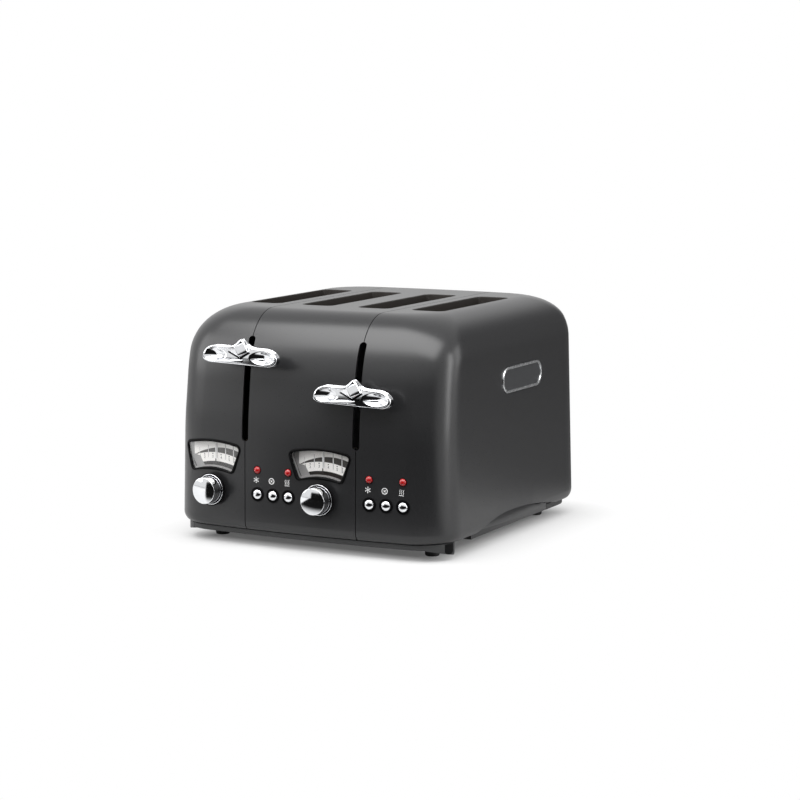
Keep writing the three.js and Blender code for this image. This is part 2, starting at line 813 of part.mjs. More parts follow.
function lampPiece(unit, offset) {
  const l = lamp;
  const back = -body.wall - fit * 2;
  const profile = [
    [0, l.dome],
    [l.radius * lampShares.mid, l.dome * lampShares.high],
    [l.radius * lampShares.wide, l.dome * lampShares.low],
    [l.radius, 0],
    [l.radius, back],
    [l.flangeRadius, back],
    [l.flangeRadius, back - l.flange],
    [l.radius, back - l.flange],
    [l.radius, -l.deep],
    [0, -l.deep],
  ];
  return solid(turned(profile, detail.smallTurn).applyMatrix4(frontPose(unit.x + offset, l.z)));
}
const lampShares = { mid: 0.5, high: 0.87, wide: 0.86, low: 0.5 };

function gaugePieces(unit) {
  const x = unit.x + knob.offset;
  const z = knob.z;
  const deep = gauge.dialDeep + gauge.dialThick;
  const ringTool = frontPrism(ringShape(fan(gauge.ring - fit), fan(0)), x, z, -deep, deep);
  const bezel = ringTool.intersect(frontLayer(gauge.proud, gauge.ringDeep));
  const lens = frontPrism(fan(-fit), x, z, -deep, deep).intersect(frontLayer(-fit, gauge.lensDeep));
  const margin = gauge.dialMargin;
  const plate = frontPrism(fan(margin), x, z, gauge.dialDeep, deep);
  const rim = frontPrism(ringShape(fan(margin), fan(margin - gauge.rim)), x, z, 0, gauge.dialDeep + fit);
  const sweep = new THREE.Shape();
  sweep.absarc(0, 0, gauge.lowCrown + margin + gauge.rim, 0, Math.PI * 2);
  const open = frontPrism(sweep, x, z, 0, gauge.dialDeep);
  const inside = innerSkin(gauge.ringDeep + fit);
  const dial = rim.subtract(open).intersect(inside).add(plate.intersect(inside));
  return { bezel, lens, dial };
}

function needlePiece(unit) {
  const x = unit.x + knob.offset;
  const n = needle;
  const hubShape = new THREE.Shape();
  hubShape.absarc(0, 0, n.hub, 0, Math.PI * 2);
  const blade = new THREE.Shape();
  blade.moveTo(-n.width, 0);
  blade.lineTo(n.width, 0);
  blade.lineTo(n.width / 2, n.reach);
  blade.lineTo(-n.width / 2, n.reach);
  const bore = new THREE.Shape();
  bore.absarc(0, 0, n.bore, 0, Math.PI * 2);
  const back = n.deep + n.thick;
  return frontPrism(hubShape, x, knob.z, n.deep, back)
    .add(frontPrism(blade, x, knob.z, n.deep, back))
    .subtract(frontPrism(bore, x, knob.z, 0, back * 2));
}

const buttonNames = ["defrost", "cancel", "warm"];
for (const unit of units) {
  add(`knob_${unit.side}`, knobPiece(unit), paint.chrome);
  button.offsets.forEach((offset, i) =>
    add(`button_${buttonNames[i]}_${unit.side}`, buttonPiece(unit, offset), paint.chrome),
  );
  add(`button_collars_${unit.side}`, collarStrip(unit), paint.black);
  add(`lamp_defrost_${unit.side}`, lampPiece(unit, lamp.offsets[0]), paint.redLens);
  add(`lamp_warm_${unit.side}`, lampPiece(unit, lamp.offsets[1]), paint.redLens);
  const { bezel, lens, dial } = gaugePieces(unit);
  add(`gauge_bezel_${unit.side}`, bezel, paint.black);
  add(`gauge_lens_${unit.side}`, lens, paint.clear);
  add(`gauge_dial_${unit.side}`, dial, paint.dial);
  add(`gauge_needle_${unit.side}`, needlePiece(unit), paint.needle);
}

// Badge place on the right side, left bare

let badgeSolid = alongX(badgeShape(0), sideX - badge.thick + badge.proud + fit, sideX + badge.proud);
badgeSolid = badgeSolid.subtract(alongX(badgeShape(-badge.ring), sideX + badge.proud - badge.recess, body.width));
add("badge_plate", badgeSolid, paint.badge);

// Levers

// The lever's upper and lower edge at u, about its middle. The ends are quarter ellipses, and the upper
// edge swells to a peak.
function leverEdge(u, upper) {
  const l = lever;
  const sign = upper ? 1 : -1;
  const long = upper ? l.topEnd : l.lowEnd;
  const high = upper ? l.top - u * l.topTiltShare : l.low + u * l.lowTiltShare;
  const past = Math.max(0, (Math.abs(u) - (l.half - long)) / long);
  const swell = Math.exp(-((Math.abs(u - l.peak.x) / l.peak.half) ** l.peak.power));
  const middle = l.middle + u * l.middleTiltShare;
  const reach = (high - sign * middle) * Math.sqrt(Math.max(0, 1 - past * past));
  return middle + sign * reach + (upper ? l.peak.up * swell : 0);
}

// How far the thumb hollows press the lever's front back.
const pressed = (u, w) =>
  lever.hollows.reduce((sum, h) => {
    const r = ((u - h.x) / h.long) ** 2 + ((w - h.z) / h.high) ** 2;
    return sum + h.deep * Math.max(0, 1 - r) ** hollowPower;
  }, 0);
const hollowPower = 0.75;

// A grid of columns from the lower to the upper edge makes the front; the back is flat.
const rowShares = [0, 0.12, 0.31, 0.5, 0.69, 0.88, 1];
function leverPlate(x, z) {
  const l = lever;
  const positions = [];
  const rows = rowShares.length;
  for (let i = 0; i <= detail.leverColumns; i++) {
    const u = -l.half * Math.cos((Math.PI * i) / detail.leverColumns);
    const atEnd = i === 0 || i === detail.leverColumns;
    const [low, top] = [leverEdge(u, false), leverEdge(u, true)];
    rowShares.forEach((share, k) => {
      const w = atEnd ? l.middle + u * l.middleTiltShare : low + (top - low) * share;
      const edge = atEnd || k === 0 || k === rows - 1;
      positions.push(x + u, l.back - (edge ? l.thick - l.rim : l.thick - pressed(u, w)), z + w);
    });
    for (const w of atEnd ? [low, low] : [low, top]) positions.push(x + u, l.back, z + w);
  }
  const column = rows + 2;
  const around = [...rowShares.keys(), rows + 1, rows];
  const faces = [];
  for (let i = 0; i < detail.leverColumns; i++)
    around.forEach((k, n) => {
      const m = around[(n + 1) % around.length];
      const [a, b, c, d] = [i * column + k, i * column + m, (i + 1) * column + m, (i + 1) * column + k];
      faces.push(a, b, c, a, c, d);
    });
  const geometry = new THREE.BufferGeometry();
  geometry.setAttribute("position", new THREE.Float32BufferAttribute(positions, 3));
  geometry.setIndex(faces);
  return solid(geometry);
}

// Two facets that meet in a fold, on a four-sided foot, like a folded diamond.
function diamondPiece(x, z) {
  const d = diamond;
  const rim = [d.left, d.low, d.right, d.top];
  const place = (p, out) => [x + p.x, lever.back - out, z + p.z];
  const points = [
    ...rim.map((p) => place(p, p.out)),
    place(d.foldTop, d.foldTop.out),
    place(d.foldLow, d.foldLow.out),
    ...rim.map((p) => place(p, d.back)),
  ];
  const [left, low, right, top, foldTop, foldLow] = points.keys();
  const faces = [left, foldTop, foldLow, left, foldLow, low, low, foldLow, right];
  faces.push(foldLow, foldTop, top, foldLow, top, right, left, top, foldTop);
  const foot = rim.length + 2;
  rim.forEach((_, i) => {
    const next = (i + 1) % rim.length;
    faces.push(i, next, foot + next, i, foot + next, foot + i);
  });
  faces.push(foot, foot + 1, foot + 2, foot, foot + 2, foot + 3);
  const geometry = new THREE.BufferGeometry();
  geometry.setAttribute("position", new THREE.Float32BufferAttribute(points.flat(), 3));
  geometry.setIndex(faces);
  return solid(geometry);
}

// A slim turned spindle that lies across the lever's lower edge, like a leaf.
function leafPiece(x, z) {
  const f = lever.leaf;
  const long = f.to - f.from;
  const profile = [];
  for (let i = 0; i <= detail.leafSteps; i++) {
    const t = i / detail.leafSteps;
    profile.push([f.half * Math.sin(Math.PI * t) ** leafPower, t * long]);
  }
  const geometry = turned(profile, detail.leafSteps).rotateY(Math.PI / 2);
  geometry.scale(1, f.deep / f.half / 2, 1).translate(x + f.from, lever.back - f.front + f.deep / 2, z + f.z);
  return solid(geometry);
}
const leafPower = 0.6;

function leverPiece(unit) {
  const { neck } = lever;
  const x = unit.x + lever.x;
  const z = unit.level;
  const neckY = [lever.back - neck.sunk, lever.back + neck.deep];
  const neckBlock = block(unit.x - neck.half, unit.x + neck.half, ...neckY, z - neck.high, z + neck.high);
  const piece = leverPlate(x, z).add(diamondPiece(x, z)).add(leafPiece(x, z)).add(neckBlock);
  const half = carriage.arm / 2 + fit;
  const high = carriage.armHigh / 2 + fit;
  return piece.subtract(block(unit.x - half, unit.x + half, carriage.armTip - fit, 0, z - high, z + high));
}
for (const unit of units) add(`lever_${unit.side}`, leverPiece(unit), paint.chrome);

// Lifting carriages, rods and springs

function carriagePiece(unit) {
  const c = carriage;
  const z = unit.level;
  const rackZ = z - rack.below;
  const bushLow = z - c.bushHigh / 2;
  let piece = rod3(unit.x, c.y, c.bush, bushLow, bushLow + c.bushHigh);
  const arm = c.arm / 2;
  piece = piece.add(block(unit.x - arm, unit.x + arm, c.armTip, c.y, z - c.armHigh / 2, z + c.armHigh / 2));
  const reach = slot.spacing / 2 + rack.thick;
  const yokeY = rack.front;
  piece = piece.add(
    block(unit.x - reach, unit.x + reach, yokeY - c.yokeThick, yokeY, rackZ - c.yokeHigh / 2, z),
  );
  piece = piece.add(block(unit.x - c.bush, unit.x + c.bush, c.y, yokeY, bushLow, bushLow + c.yokeHigh));
  for (const x of slotCentres(unit)) {
    const half = rack.thick / 2;
    piece = piece.add(block(x - half, x + half, yokeY - fit, rack.rear, rackZ - rack.high / 2, rackZ + rack.high / 2));
    for (let i = 0; i < rack.teeth; i++) {
      const y = slot.front + ((i + 1) * (slot.rear - slot.front)) / (rack.teeth + 1);
      piece = piece.add(
        block(
          x - rack.tooth,
          x + rack.tooth,
          y - half,
          y + half,
          rackZ + rack.high / 2 - rack.toothHigh,
          rackZ + rack.high / 2,
        ),
      );
    }
  }
  return piece.subtract(rod3(unit.x, c.y, rod.radius + rod.clear, 0, body.top));
}

class Helix extends THREE.Curve {
  constructor(x, y, z0, z1) {
    super();
    Object.assign(this, { x, y, z0, z1 });
  }
  getPoint(t, target = new THREE.Vector3()) {
    const angle = t * coil.curls * Math.PI * 2;
    return target.set(
      this.x + coil.radius * Math.cos(angle),
      this.y + coil.radius * Math.sin(angle),
      this.z0 + (this.z1 - this.z0) * t,
    );
  }
}

function closedTube(path, steps, radius, sides) {
  const ring = new THREE.Shape();
  for (let i = 0; i < sides; i++) {
    const angle = (i / sides) * Math.PI * 2;
    const point = [radius * Math.cos(angle), radius * Math.sin(angle)];
    if (i) ring.lineTo(...point);
    else ring.moveTo(...point);
  }
  return solid(new THREE.ExtrudeGeometry(ring, { steps, extrudePath: path }));
}

for (const unit of units) {
  add(`carriage_${unit.side}`, carriagePiece(unit), paint.steel);
  add(`guide_rod_${unit.side}`, rod3(unit.x, carriage.y, rod.radius, rod.low, rod.high), paint.steel);
  const z0 = base.bottom + base.floor * 2 + coil.wire * 2;
  const z1 = unit.level - carriage.bushHigh / 2 - coil.wire * 2;
  const path = new Helix(unit.x, carriage.y, z0, z1);
  add(`lift_spring_${unit.side}`, closedTube(path, coil.curls * coil.steps, coil.wire, coil.sides), paint.spring);
}

// Chamber plates, heaters and bread guards

function chamberPlate(y) {
  const c = chamber;
  const outline = new THREE.Shape();
  outline.moveTo(-c.half, c.low);
  outline.lineTo(c.half, c.low);
  outline.lineTo(c.half, c.high - c.cut);
  outline.lineTo(c.half - c.cut, c.high);
  outline.lineTo(-c.half + c.cut, c.high);
  outline.lineTo(-c.half, c.high - c.cut);
  let plate = alongY(outline, y, y + c.thick);
  for (const unit of units)
    for (const x of slotCentres(unit))
      plate = plate.subtract(
        block(x - c.slit / 2, x + c.slit / 2, -far, far, c.slitLow, unit.level - rack.below + slitExtra(unit)),
      );
  for (const x of heaterXs())
    plate = plate.subtract(
      block(x - heater.thick / 2 - fit, x + heater.thick / 2 + fit, -far, far, heater.tabLow - fit, heater.tabHigh + fit),
    );
  const guardHigh = guard.rail + fit;
  const guardWide = guard.swing + guard.rail + fit;
  for (const x of guardXs())
    for (const z of [guard.low, guard.high])
      plate = plate.subtract(block(x - guardWide, x + guardWide, -far, far, z - guardHigh, z + guardHigh));
  return plate;
}
const slitExtra = (unit) => lift.high - unit.level + carriage.yokeHigh;

const heaterOffsets = [-heater.offset, 0, heater.offset];
const heaterXs = () => units.flatMap((unit) => heaterOffsets.map((offset) => unit.x + offset));
const guardXs = () => slotXs.flatMap((x) => [x - slot.width / 2 + guard.inset, x + slot.width / 2 - guard.inset]);

function withBrackets(plate) {
  const b = bracket;
  let made = plate;
  for (const unit of units)
    made = made
      .add(
        block(unit.x - b.half, unit.x + b.half, carriage.y - b.past, chamber.front + chamber.thick, b.z, b.z + b.thick),
      )
      .subtract(rod3(unit.x, carriage.y, b.hole, b.z - fit, body.top));
  return made;
}
add("chamber_plate_front", withBrackets(chamberPlate(chamber.front)), paint.steel);
add("chamber_plate_rear", chamberPlate(chamber.rear), paint.steel);

// A mica sheet with the heating ribbon wound round it, hung by a tab at each end.
function heaterPiece(x) {
  const h = heater;
  const y0 = chamber.front + chamber.thick + fit;
  const y1 = chamber.rear - fit;
  const half = h.thick / 2;
  let piece = block(x - half, x + half, y0, y1, h.low, h.high);
  piece = piece.add(
    block(x - half, x + half, chamber.front - chamber.thick, chamber.rear + chamber.thick * 2, heater.tabLow, heater.tabHigh),
  );
  for (let i = 0; i < h.ribs; i++) {
    const z = h.low + ((i + 1 / 2) * (h.high - h.low)) / h.ribs;
    const wide = h.ribWide / 2;
    const margin = slot.corner;
    piece = piece.add(block(x - half - h.rib, x + half + h.rib, y0 + margin, y1 - margin, z - wide, z + wide));
  }
  return piece;
}
const heaterNames = ["outer", "centre", "inner"];
for (const unit of units)
  heaterOffsets.forEach((offset, i) => {
    const names = unit.side === "left" ? heaterNames : [...heaterNames].reverse();
    add(`heater_${names[i]}_${unit.side}`, heaterPiece(unit.x + offset), paint.mica);
  });

// A wire grid beside the slice: upright bars between level rails whose ends run in the chamber plates.
function guardPiece(x) {
  const g = guard;
  const y0 = chamber.front + chamber.thick + g.reach;
  const y1 = chamber.rear - g.reach;
  const past = g.reach + chamber.thick * 2;
  const parts = [guard.low, guard.high].map((z) =>
    block(x - g.rail, x + g.rail, y0 - past, y1 + past, z - g.rail, z + g.rail),
  );
  for (let i = 0; i < g.bars; i++) {
    const y = y0 + g.rail * 2 + (i * (y1 - y0 - g.rail * 4)) / (g.bars - 1);
    parts.push(block(x - g.wire, x + g.wire, y - g.wire, y + g.wire, guard.low, guard.high));
  }
  return joined(parts);
}
for (const unit of units) {
  slotCentres(unit).forEach((x, i) => {
    const offset = slot.width / 2 - guard.inset;
    add(`guard_${i ? "right" : "left"}_slot_left_side_${unit.side}`, guardPiece(x - offset), paint.steel);
    add(`guard_${i ? "right" : "left"}_slot_right_side_${unit.side}`, guardPiece(x + offset), paint.steel);
  });
}

// Control boards and cord inlet

// The circuit board with the holding magnet soldered to its back.
function boardPiece(unit) {
  const b = board;
  const x = unit.x;
  let piece = block(x - b.half, x + b.half, b.y, b.y + b.thick, base.bottom + base.floor + fit, b.high);
  const m = b.magnet;
  piece = piece.add(block(x - m.half, x + m.half, b.y, b.y + m.deep, m.low, m.high));
  return piece;
}
for (const unit of units) add(`control_board_${unit.side}`, boardPiece(unit), paint.board);

function inletPiece() {
  const i = inlet;
  const y = -surfaceY(i.x, i.z);
  const profile = [
    [i.boreRadius, i.proud],
    [i.radius, i.proud],
    [i.collarRadius, i.collarThick],
    [i.collarRadius, fit],
    [i.radius, fit],
    [i.radius, -i.inside],
    [i.boreRadius, -i.inside],
    [i.boreRadius, i.proud],
  ];
  return solid(turned(profile, detail.smallTurn).rotateX(-Math.PI / 2).translate(i.x, y, i.z));
}
add("cord_inlet", inletPiece(), paint.black);

// The origin is under the middle of the whole object, on the floor.
const box = new THREE.Box3().setFromObject(group);
group.position.set(-(box.min.x + box.max.x) / 2, -(box.min.y + box.max.y) / 2, -box.min.z);

export default group;
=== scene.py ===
# %% [markdown]
# # A four-slot toaster
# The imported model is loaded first. It fixes where every piece is and what moves.
# Everything made here goes around it, in metres, in the same frame.

import bpy
import bmesh
import math
from mathutils import Matrix, Vector


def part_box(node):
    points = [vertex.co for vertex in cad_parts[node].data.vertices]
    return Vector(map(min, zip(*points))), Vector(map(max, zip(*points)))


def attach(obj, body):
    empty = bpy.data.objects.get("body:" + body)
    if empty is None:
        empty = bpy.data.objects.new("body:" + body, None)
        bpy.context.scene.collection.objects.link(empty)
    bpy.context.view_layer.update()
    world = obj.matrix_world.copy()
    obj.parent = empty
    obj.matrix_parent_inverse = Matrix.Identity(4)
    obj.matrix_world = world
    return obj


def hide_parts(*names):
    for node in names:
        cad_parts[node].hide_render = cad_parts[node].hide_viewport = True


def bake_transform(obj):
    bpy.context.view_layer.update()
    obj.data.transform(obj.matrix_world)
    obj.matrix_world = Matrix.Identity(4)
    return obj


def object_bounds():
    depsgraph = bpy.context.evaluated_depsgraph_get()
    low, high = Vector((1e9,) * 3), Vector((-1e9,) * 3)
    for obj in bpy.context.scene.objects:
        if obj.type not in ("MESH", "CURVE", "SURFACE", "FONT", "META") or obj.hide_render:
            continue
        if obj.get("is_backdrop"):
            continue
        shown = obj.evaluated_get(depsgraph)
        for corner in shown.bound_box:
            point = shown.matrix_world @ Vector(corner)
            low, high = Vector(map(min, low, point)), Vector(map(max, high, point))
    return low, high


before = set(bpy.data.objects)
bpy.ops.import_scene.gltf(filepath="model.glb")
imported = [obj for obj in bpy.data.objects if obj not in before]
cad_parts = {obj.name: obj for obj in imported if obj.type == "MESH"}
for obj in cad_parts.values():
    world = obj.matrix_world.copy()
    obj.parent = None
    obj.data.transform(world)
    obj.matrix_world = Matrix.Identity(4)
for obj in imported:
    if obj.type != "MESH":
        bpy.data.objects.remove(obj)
cad_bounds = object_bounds()
MM = 0.001
badge_low, badge_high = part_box("badge_plate")
shift_back = (badge_low[1] + badge_high[1]) / 2 - 17.6 * MM
print("the shell's middle lies back by", round(shift_back, 5))

# %% [markdown]
# ## The body's own sizes
# The shell leans in as it rises, bows out a little in front and has a different rounding at the
# front, the sides and the back. These numbers describe it, in millimetres, so that every piece that
# lies on the shell can ask one function where the surface is.

# %% Sizes of the shell
WIDTH, DEPTH, BOW = 300.8, 318.7, 7.0
BOTTOM, TOP, WALL = 17.3, 229.3, 2.0
DRAFT_FROM, SIDE_DRAFT, FRONT_DRAFT = 55.0, 0.0182, 0.0189
CORNER_FRONT, CORNER_REAR = 35.6, 31.9
# Each rounding: how far in it comes, how high it is and its power; the hem has the first two.
SIDE_ROUND, FRONT_ROUND, REAR_ROUND = (41.2, 42.4, 2.0), (44.9, 69.0, 2.4), (39.9, 24.5, 2.0)
HEM = (5.3, 9.9)
LEAN_FROM, LEAN_EASE, LEAN = 105.0, 30.0, 0.095
UNIT_X = {"left": -61.1, "right": 61.1}
LEVEL = {"left": 188.0, "right": 156.0}
SLOT_PITCH, SLOT_WIDTH, SLOT_FRONT, SLOT_REAR, SLOT_CORNER = 59.0, 34.9, -77.5, 75.3, 8.0
SEAM_GAP = 0.8


def rounding(shape, z):
    across, high, power = shape
    t = min(1.0, max(0.0, (z - (TOP - high)) / high))
    return across * (1 - (1 - t**power) ** (1 / power))


def lean_back(z):
    """How far the front leans back above the controls; the lean sets in softly."""
    over = max(0.0, z - LEAN_FROM)
    return LEAN * over * over / (LEAN_EASE * 2) if over < LEAN_EASE else LEAN * (over - LEAN_EASE / 2)


def hem(z):
    across, high = HEM
    t = min(1.0, max(0.0, (BOTTOM + high - z) / high))
    return across * (1 - math.sqrt(1 - t * t))


def half_width(z):
    return WIDTH / 2 - rounding(SIDE_ROUND, z) - SIDE_DRAFT * (z - DRAFT_FROM) - hem(z)


def half_depth(z, front=True):
    end = FRONT_ROUND if front else REAR_ROUND
    lean = lean_back(z) if front else 0.0
    return DEPTH / 2 - rounding(end, z) - FRONT_DRAFT * (z - DRAFT_FROM) - lean - hem(z)


def outline_point(share, z, grow=0.0):
    """A point of the plan outline at height z. share runs round it once, starting at the left."""
    steps = share * 4.0
    quarter, along = int(steps) % 4, steps - int(steps)
    front = quarter in (0, 1)
    a = half_width(z) + grow
    b = half_depth(z, front) + grow
    r = (CORNER_FRONT if front else CORNER_REAR) + grow
    straight_x, straight_y, arc = a - r, b - r, r * math.pi / 2
    total = straight_x + straight_y + arc
    forward = quarter in (0, 2)
    s = (along if forward else 1 - along) * total
    if s < straight_y:
        x, y = a, s
    elif s < straight_y + arc:
        angle = (s - straight_y) / r
        x, y = straight_x + r * math.cos(angle), straight_y + r * math.sin(angle)
    else:
        x, y = straight_x - (s - straight_y - arc), b
    y *= 1 + BOW / b * (1 - (x / a) ** 2)
    sign_x = -1 if quarter in (0, 3) else 1
    return Vector((x * sign_x, -y if front else y, z))


def front_y(x, z):
    """Where the front surface is at x and z."""
    a, b, r = half_width(z), half_depth(z), CORNER_FRONT
    reach = abs(x) - (a - r)
    flat = b if reach <= 0 else b - r + math.sqrt(max(0.0, r * r - reach * reach))
    return -flat * (1 + BOW / b * (1 - (x / a) ** 2))


def placed(p):
    """A point in the shell's millimetres as a point of the frame in metres."""
    return Vector((p[0] * MM, p[1] * MM + shift_back, p[2] * MM))


print("front at the right lever:", round(front_y(61.1, 110), 1), "mm")

# %% [markdown]
# ## Tools for making pieces
# A piece starts as a bmesh and ends as an object whose origin is the frame's, with its place in
# its mesh. One helper turns it into an object, smooths it where the angle is small, gives it
# its finish and lets it ride on a body.

# %% From a bmesh to a piece
materials = {}


def object_from(bm, name):
    """An object with the bmesh's mesh, put in the scene. The bmesh is freed."""
    mesh = bpy.data.meshes.new(name)
    bm.to_mesh(mesh)
    bm.free()
    made = bpy.data.objects.new(name, mesh)
    bpy.context.collection.objects.link(made)
    return made


def finish_piece(name, bm, material, body="frame", stands_for=(), smooth=35, recalc=True):
    if recalc:
        bmesh.ops.recalc_face_normals(bm, faces=bm.faces)
        if all(edge.is_manifold for edge in bm.edges) and bm.calc_volume(signed=True) < 0:
            bmesh.ops.reverse_faces(bm, faces=bm.faces)
    piece = object_from(bm, name)
    piece.data.materials.append(materials[material])
    shade(piece, smooth)
    if body:
        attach(piece, body)
    if stands_for:
        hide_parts(*stands_for)
    return piece


def shade(piece, angle):
    piece.data.shade_smooth()
    piece.data.set_sharp_from_angle(angle=math.radians(angle))


def with_modifier(piece, kind, **settings):
    """Adds a modifier, takes the mesh that it gives and drops it again."""
    modifier = piece.modifiers.new(kind.title(), kind)
    for key, value in settings.items():
        setattr(modifier, key, value)
    graph = bpy.context.evaluated_depsgraph_get()
    done = bpy.data.meshes.new_from_object(piece.evaluated_get(graph), depsgraph=graph)
    piece.modifiers.clear()
    piece.data = done


# %% Loops of points and the skins between them
def circle(x, z, radius, steps):
    turns = (math.tau * i / steps for i in range(steps))
    return [(x + radius * math.cos(a), z + radius * math.sin(a)) for a in turns]


def add_loop(bm, points):
    return [bm.verts.new(placed(p)) for p in points]


def skin_between(bm, loops, close=False):
    """Quads between loops that have the same number of points and start at the same side."""
    following = loops[1:] + loops[:1] if close else loops[1:]
    for first, second in zip(loops, following):
        for i in range(len(first)):
            k = (i + 1) % len(first)
            bm.faces.new((first[i], first[k], second[k], second[i]))


def capped_skin(bm, loops):
    """The skin between loops, closed at both ends."""
    skin_between(bm, loops)
    bm.faces.new(loops[0])
    bm.faces.new(loops[-1])


def solid_from_loops(loops_of_points, close=False):
    """A solid swept through the loops: a closed ring, or else capped at both ends."""
    bm = bmesh.new()
    loops = [add_loop(bm, points) for points in loops_of_points]
    if close:
        skin_between(bm, loops, close)
    else:
        capped_skin(bm, loops)
    return bm


def spun(profile, steps):
    """A profile of [radius, height] in millimetres spun about Z into a closed solid, at the origin.

    The rings are laid one by one, because bmesh's own spin orders its faces anew in each run.
    """
    bm = bmesh.new()
    rings = {}
    for r, z in profile:
        if (r, z) in rings:
            continue
        if r:
            around = circle(0, 0, r * MM, steps)
            rings[r, z] = [bm.verts.new((x, y, z * MM)) for x, y in around]
        else:
            rings[r, z] = [bm.verts.new((0, 0, z * MM))] * steps
    for first, second in zip(profile, profile[1:]):
        a, b = rings[first], rings[second]
        for i in range(steps):
            k = (i + 1) % steps
            bm.faces.new(dict.fromkeys((a[i], a[k], b[k], b[i])))
    return bm


def fillet(points, radius, steps=4):
    """Rounds the inner corners of an open profile."""
    out = [points[0]]
    for before, at, after in zip(points, points[1:], points[2:]):
        b, p, a = Vector(before), Vector(at), Vector(after)
        to_b, to_a = b - p, a - p
        r = min(radius, to_b.length * 0.45, to_a.length * 0.45)
        start, end = p + to_b.normalized() * r, p + to_a.normalized() * r
        for i in range(steps + 1):
            t = i / steps
            out.append(tuple(start * (1 - t) ** 2 + p * 2 * t * (1 - t) + end * t * t))
    out.append(points[-1])
    return out


def front_pose(x, z):
    """Turns +Z to point straight out of the front wall at x and z."""
    slope = 2 * BOW * x / (WIDTH / 2) ** 2
    outward = Vector((slope, -1, FRONT_DRAFT)).normalized()
    turn = Vector((0, 0, 1)).rotation_difference(outward).to_matrix().to_4x4()
    y = -half_depth(z) - BOW * (1 - (x / half_width(z)) ** 2)
    return Matrix.Translation(placed((x, y, z))) @ turn


def boxed(bm, low, high):
    low, high = placed(low), placed(high)
    size = high - low
    matrix = Matrix.Translation((low + high) / 2) @ Matrix.Diagonal((*size, 1))
    return bmesh.ops.create_cube(bm, size=1, matrix=matrix)


def rounded(bm, radius):
    """Bevels every edge, by a radius in millimetres."""
    look = {"segments": 3, "profile": 0.5, "material": -1}
    bmesh.ops.bevel(bm, geom=bm.edges[:], offset=radius * MM, affect="EDGES", **look)


print("helpers ready")

# %% [markdown]
# ## Finishes
# All finishes are procedural. A real surface is never one even colour: enamel has a faint
# waviness, polished chrome fine wiping marks, moulded plastic a grain. Each finish is a
# Principled shader whose roughness and bump follow a noise on the object's own coordinates.

# %% Shader nodes
def feed(node, inputs):
    """Links or sets each input of a node."""
    for name, value in inputs.items():
        if isinstance(value, bpy.types.NodeSocket):
            node.id_data.links.new(value, node.inputs[name])
        else:
            node.inputs[name].default_value = value


def add_node(tree, kind, inputs, **settings):
    made = tree.nodes.new("ShaderNode" + kind)
    for key, value in settings.items():
        setattr(made, key, value)
    feed(made, inputs)
    return made


# %% A finish with grain
DARKER, LIGHTER, LEAST_ROUGH, RELIEF = 0.93, 1.07, 0.02, 0.0002


def grained(name, color, metallic, roughness, scale, spread, bump, coat=0.0, stretch=(1, 1, 1)):
    """A finish whose roughness, tone and bump follow one noise."""
    material = bpy.data.materials.new(name)
    material.use_nodes = True
    tree = material.node_tree
    place = add_node(tree, "TexCoord", {}).outputs["Object"]
    stretched = add_node(tree, "Mapping", {"Vector": place, "Scale": stretch}).outputs["Vector"]
    pattern = {"Vector": stretched, "Scale": scale, "Detail": 4}
    noise = add_node(tree, "TexNoise", pattern).outputs["Fac"]
    limits = {"To Min": max(LEAST_ROUGH, roughness - spread), "To Max": min(1, roughness + spread)}
    rough = add_node(tree, "MapRange", {"Value": noise, **limits}).outputs["Result"]
    tones = {"A": (*[c * DARKER for c in color], 1), "B": (*[min(1, c * LIGHTER) for c in color], 1)}
    tint = add_node(tree, "Mix", {"Factor": noise, **tones}, data_type="RGBA").outputs["Result"]
    look = {"Metallic": metallic, "Coat Weight": coat, "Roughness": rough, "Base Color": tint}
    if bump:
        relief = add_node(tree, "Bump", {"Height": noise, "Strength": bump, "Distance": RELIEF})
        look["Normal"] = relief.outputs["Normal"]
    feed(tree.nodes["Principled BSDF"], look)
    materials[name] = material
    return material


# %% The toaster's finishes
grained("grey_enamel", (0.0128, 0.0129, 0.0137), 0.0, 0.29, 900, 0.04, 0.03)
grained("slot_coating", (0.018, 0.015, 0.013), 0.2, 0.5, 500, 0.08, 0.1)
grained("chrome", (0.8, 0.81, 0.83), 1.0, 0.07, 300, 0.02, 0.0)
grained("black_plastic", (0.012, 0.012, 0.013), 0.0, 0.42, 1200, 0.08, 0.15)
grained("base_plastic", (0.016, 0.0165, 0.017), 0.0, 0.45, 1200, 0.08, 0.1)
trim = grained("bezel_black", (0.003, 0.003, 0.0032), 0.0, 0.35, 800, 0.05, 0.05)
feed(trim.node_tree.nodes["Principled BSDF"], {"Specular IOR Level": 0.05})
grained("lamp_red", (0.3, 0.003, 0.004), 0.0, 0.12, 400, 0.03, 0.0, coat=0.3)
grained("dial_white", (0.9, 0.885, 0.86), 0.0, 0.5, 700, 0.05, 0.03)
grained("dial_grey", (0.045, 0.042, 0.037), 0.0, 0.55, 700, 0.05, 0.03)
grained("dial_wall", (0.3, 0.295, 0.295), 0.0, 0.5, 700, 0.05, 0.03)
grained("dial_lip", (0.3, 0.29, 0.29), 0.0, 0.4, 700, 0.05, 0.03)
grained("dial_back", (0.012, 0.008, 0.006), 0.0, 0.5, 700, 0.05, 0.03)
grained("dial_line", (0.55, 0.54, 0.54), 0.0, 0.5, 700, 0.05, 0.0)
grained("dial_ink", (0.03, 0.03, 0.03), 0.0, 0.6, 700, 0.05, 0.0)
grained("white_print", (0.72, 0.72, 0.72), 0.0, 0.5, 700, 0.05, 0.0)
grained("badge_rim", (0.66, 0.67, 0.68), 1.0, 0.27, 900, 0.06, 0.05)
grained("badge_face", (0.03, 0.031, 0.033), 0.2, 0.4, 900, 0.06, 0.05)
grained("brushed_steel", (0.42, 0.42, 0.41), 1.0, 0.38, 240, 0.1, 0.1, stretch=(1, 12, 1))
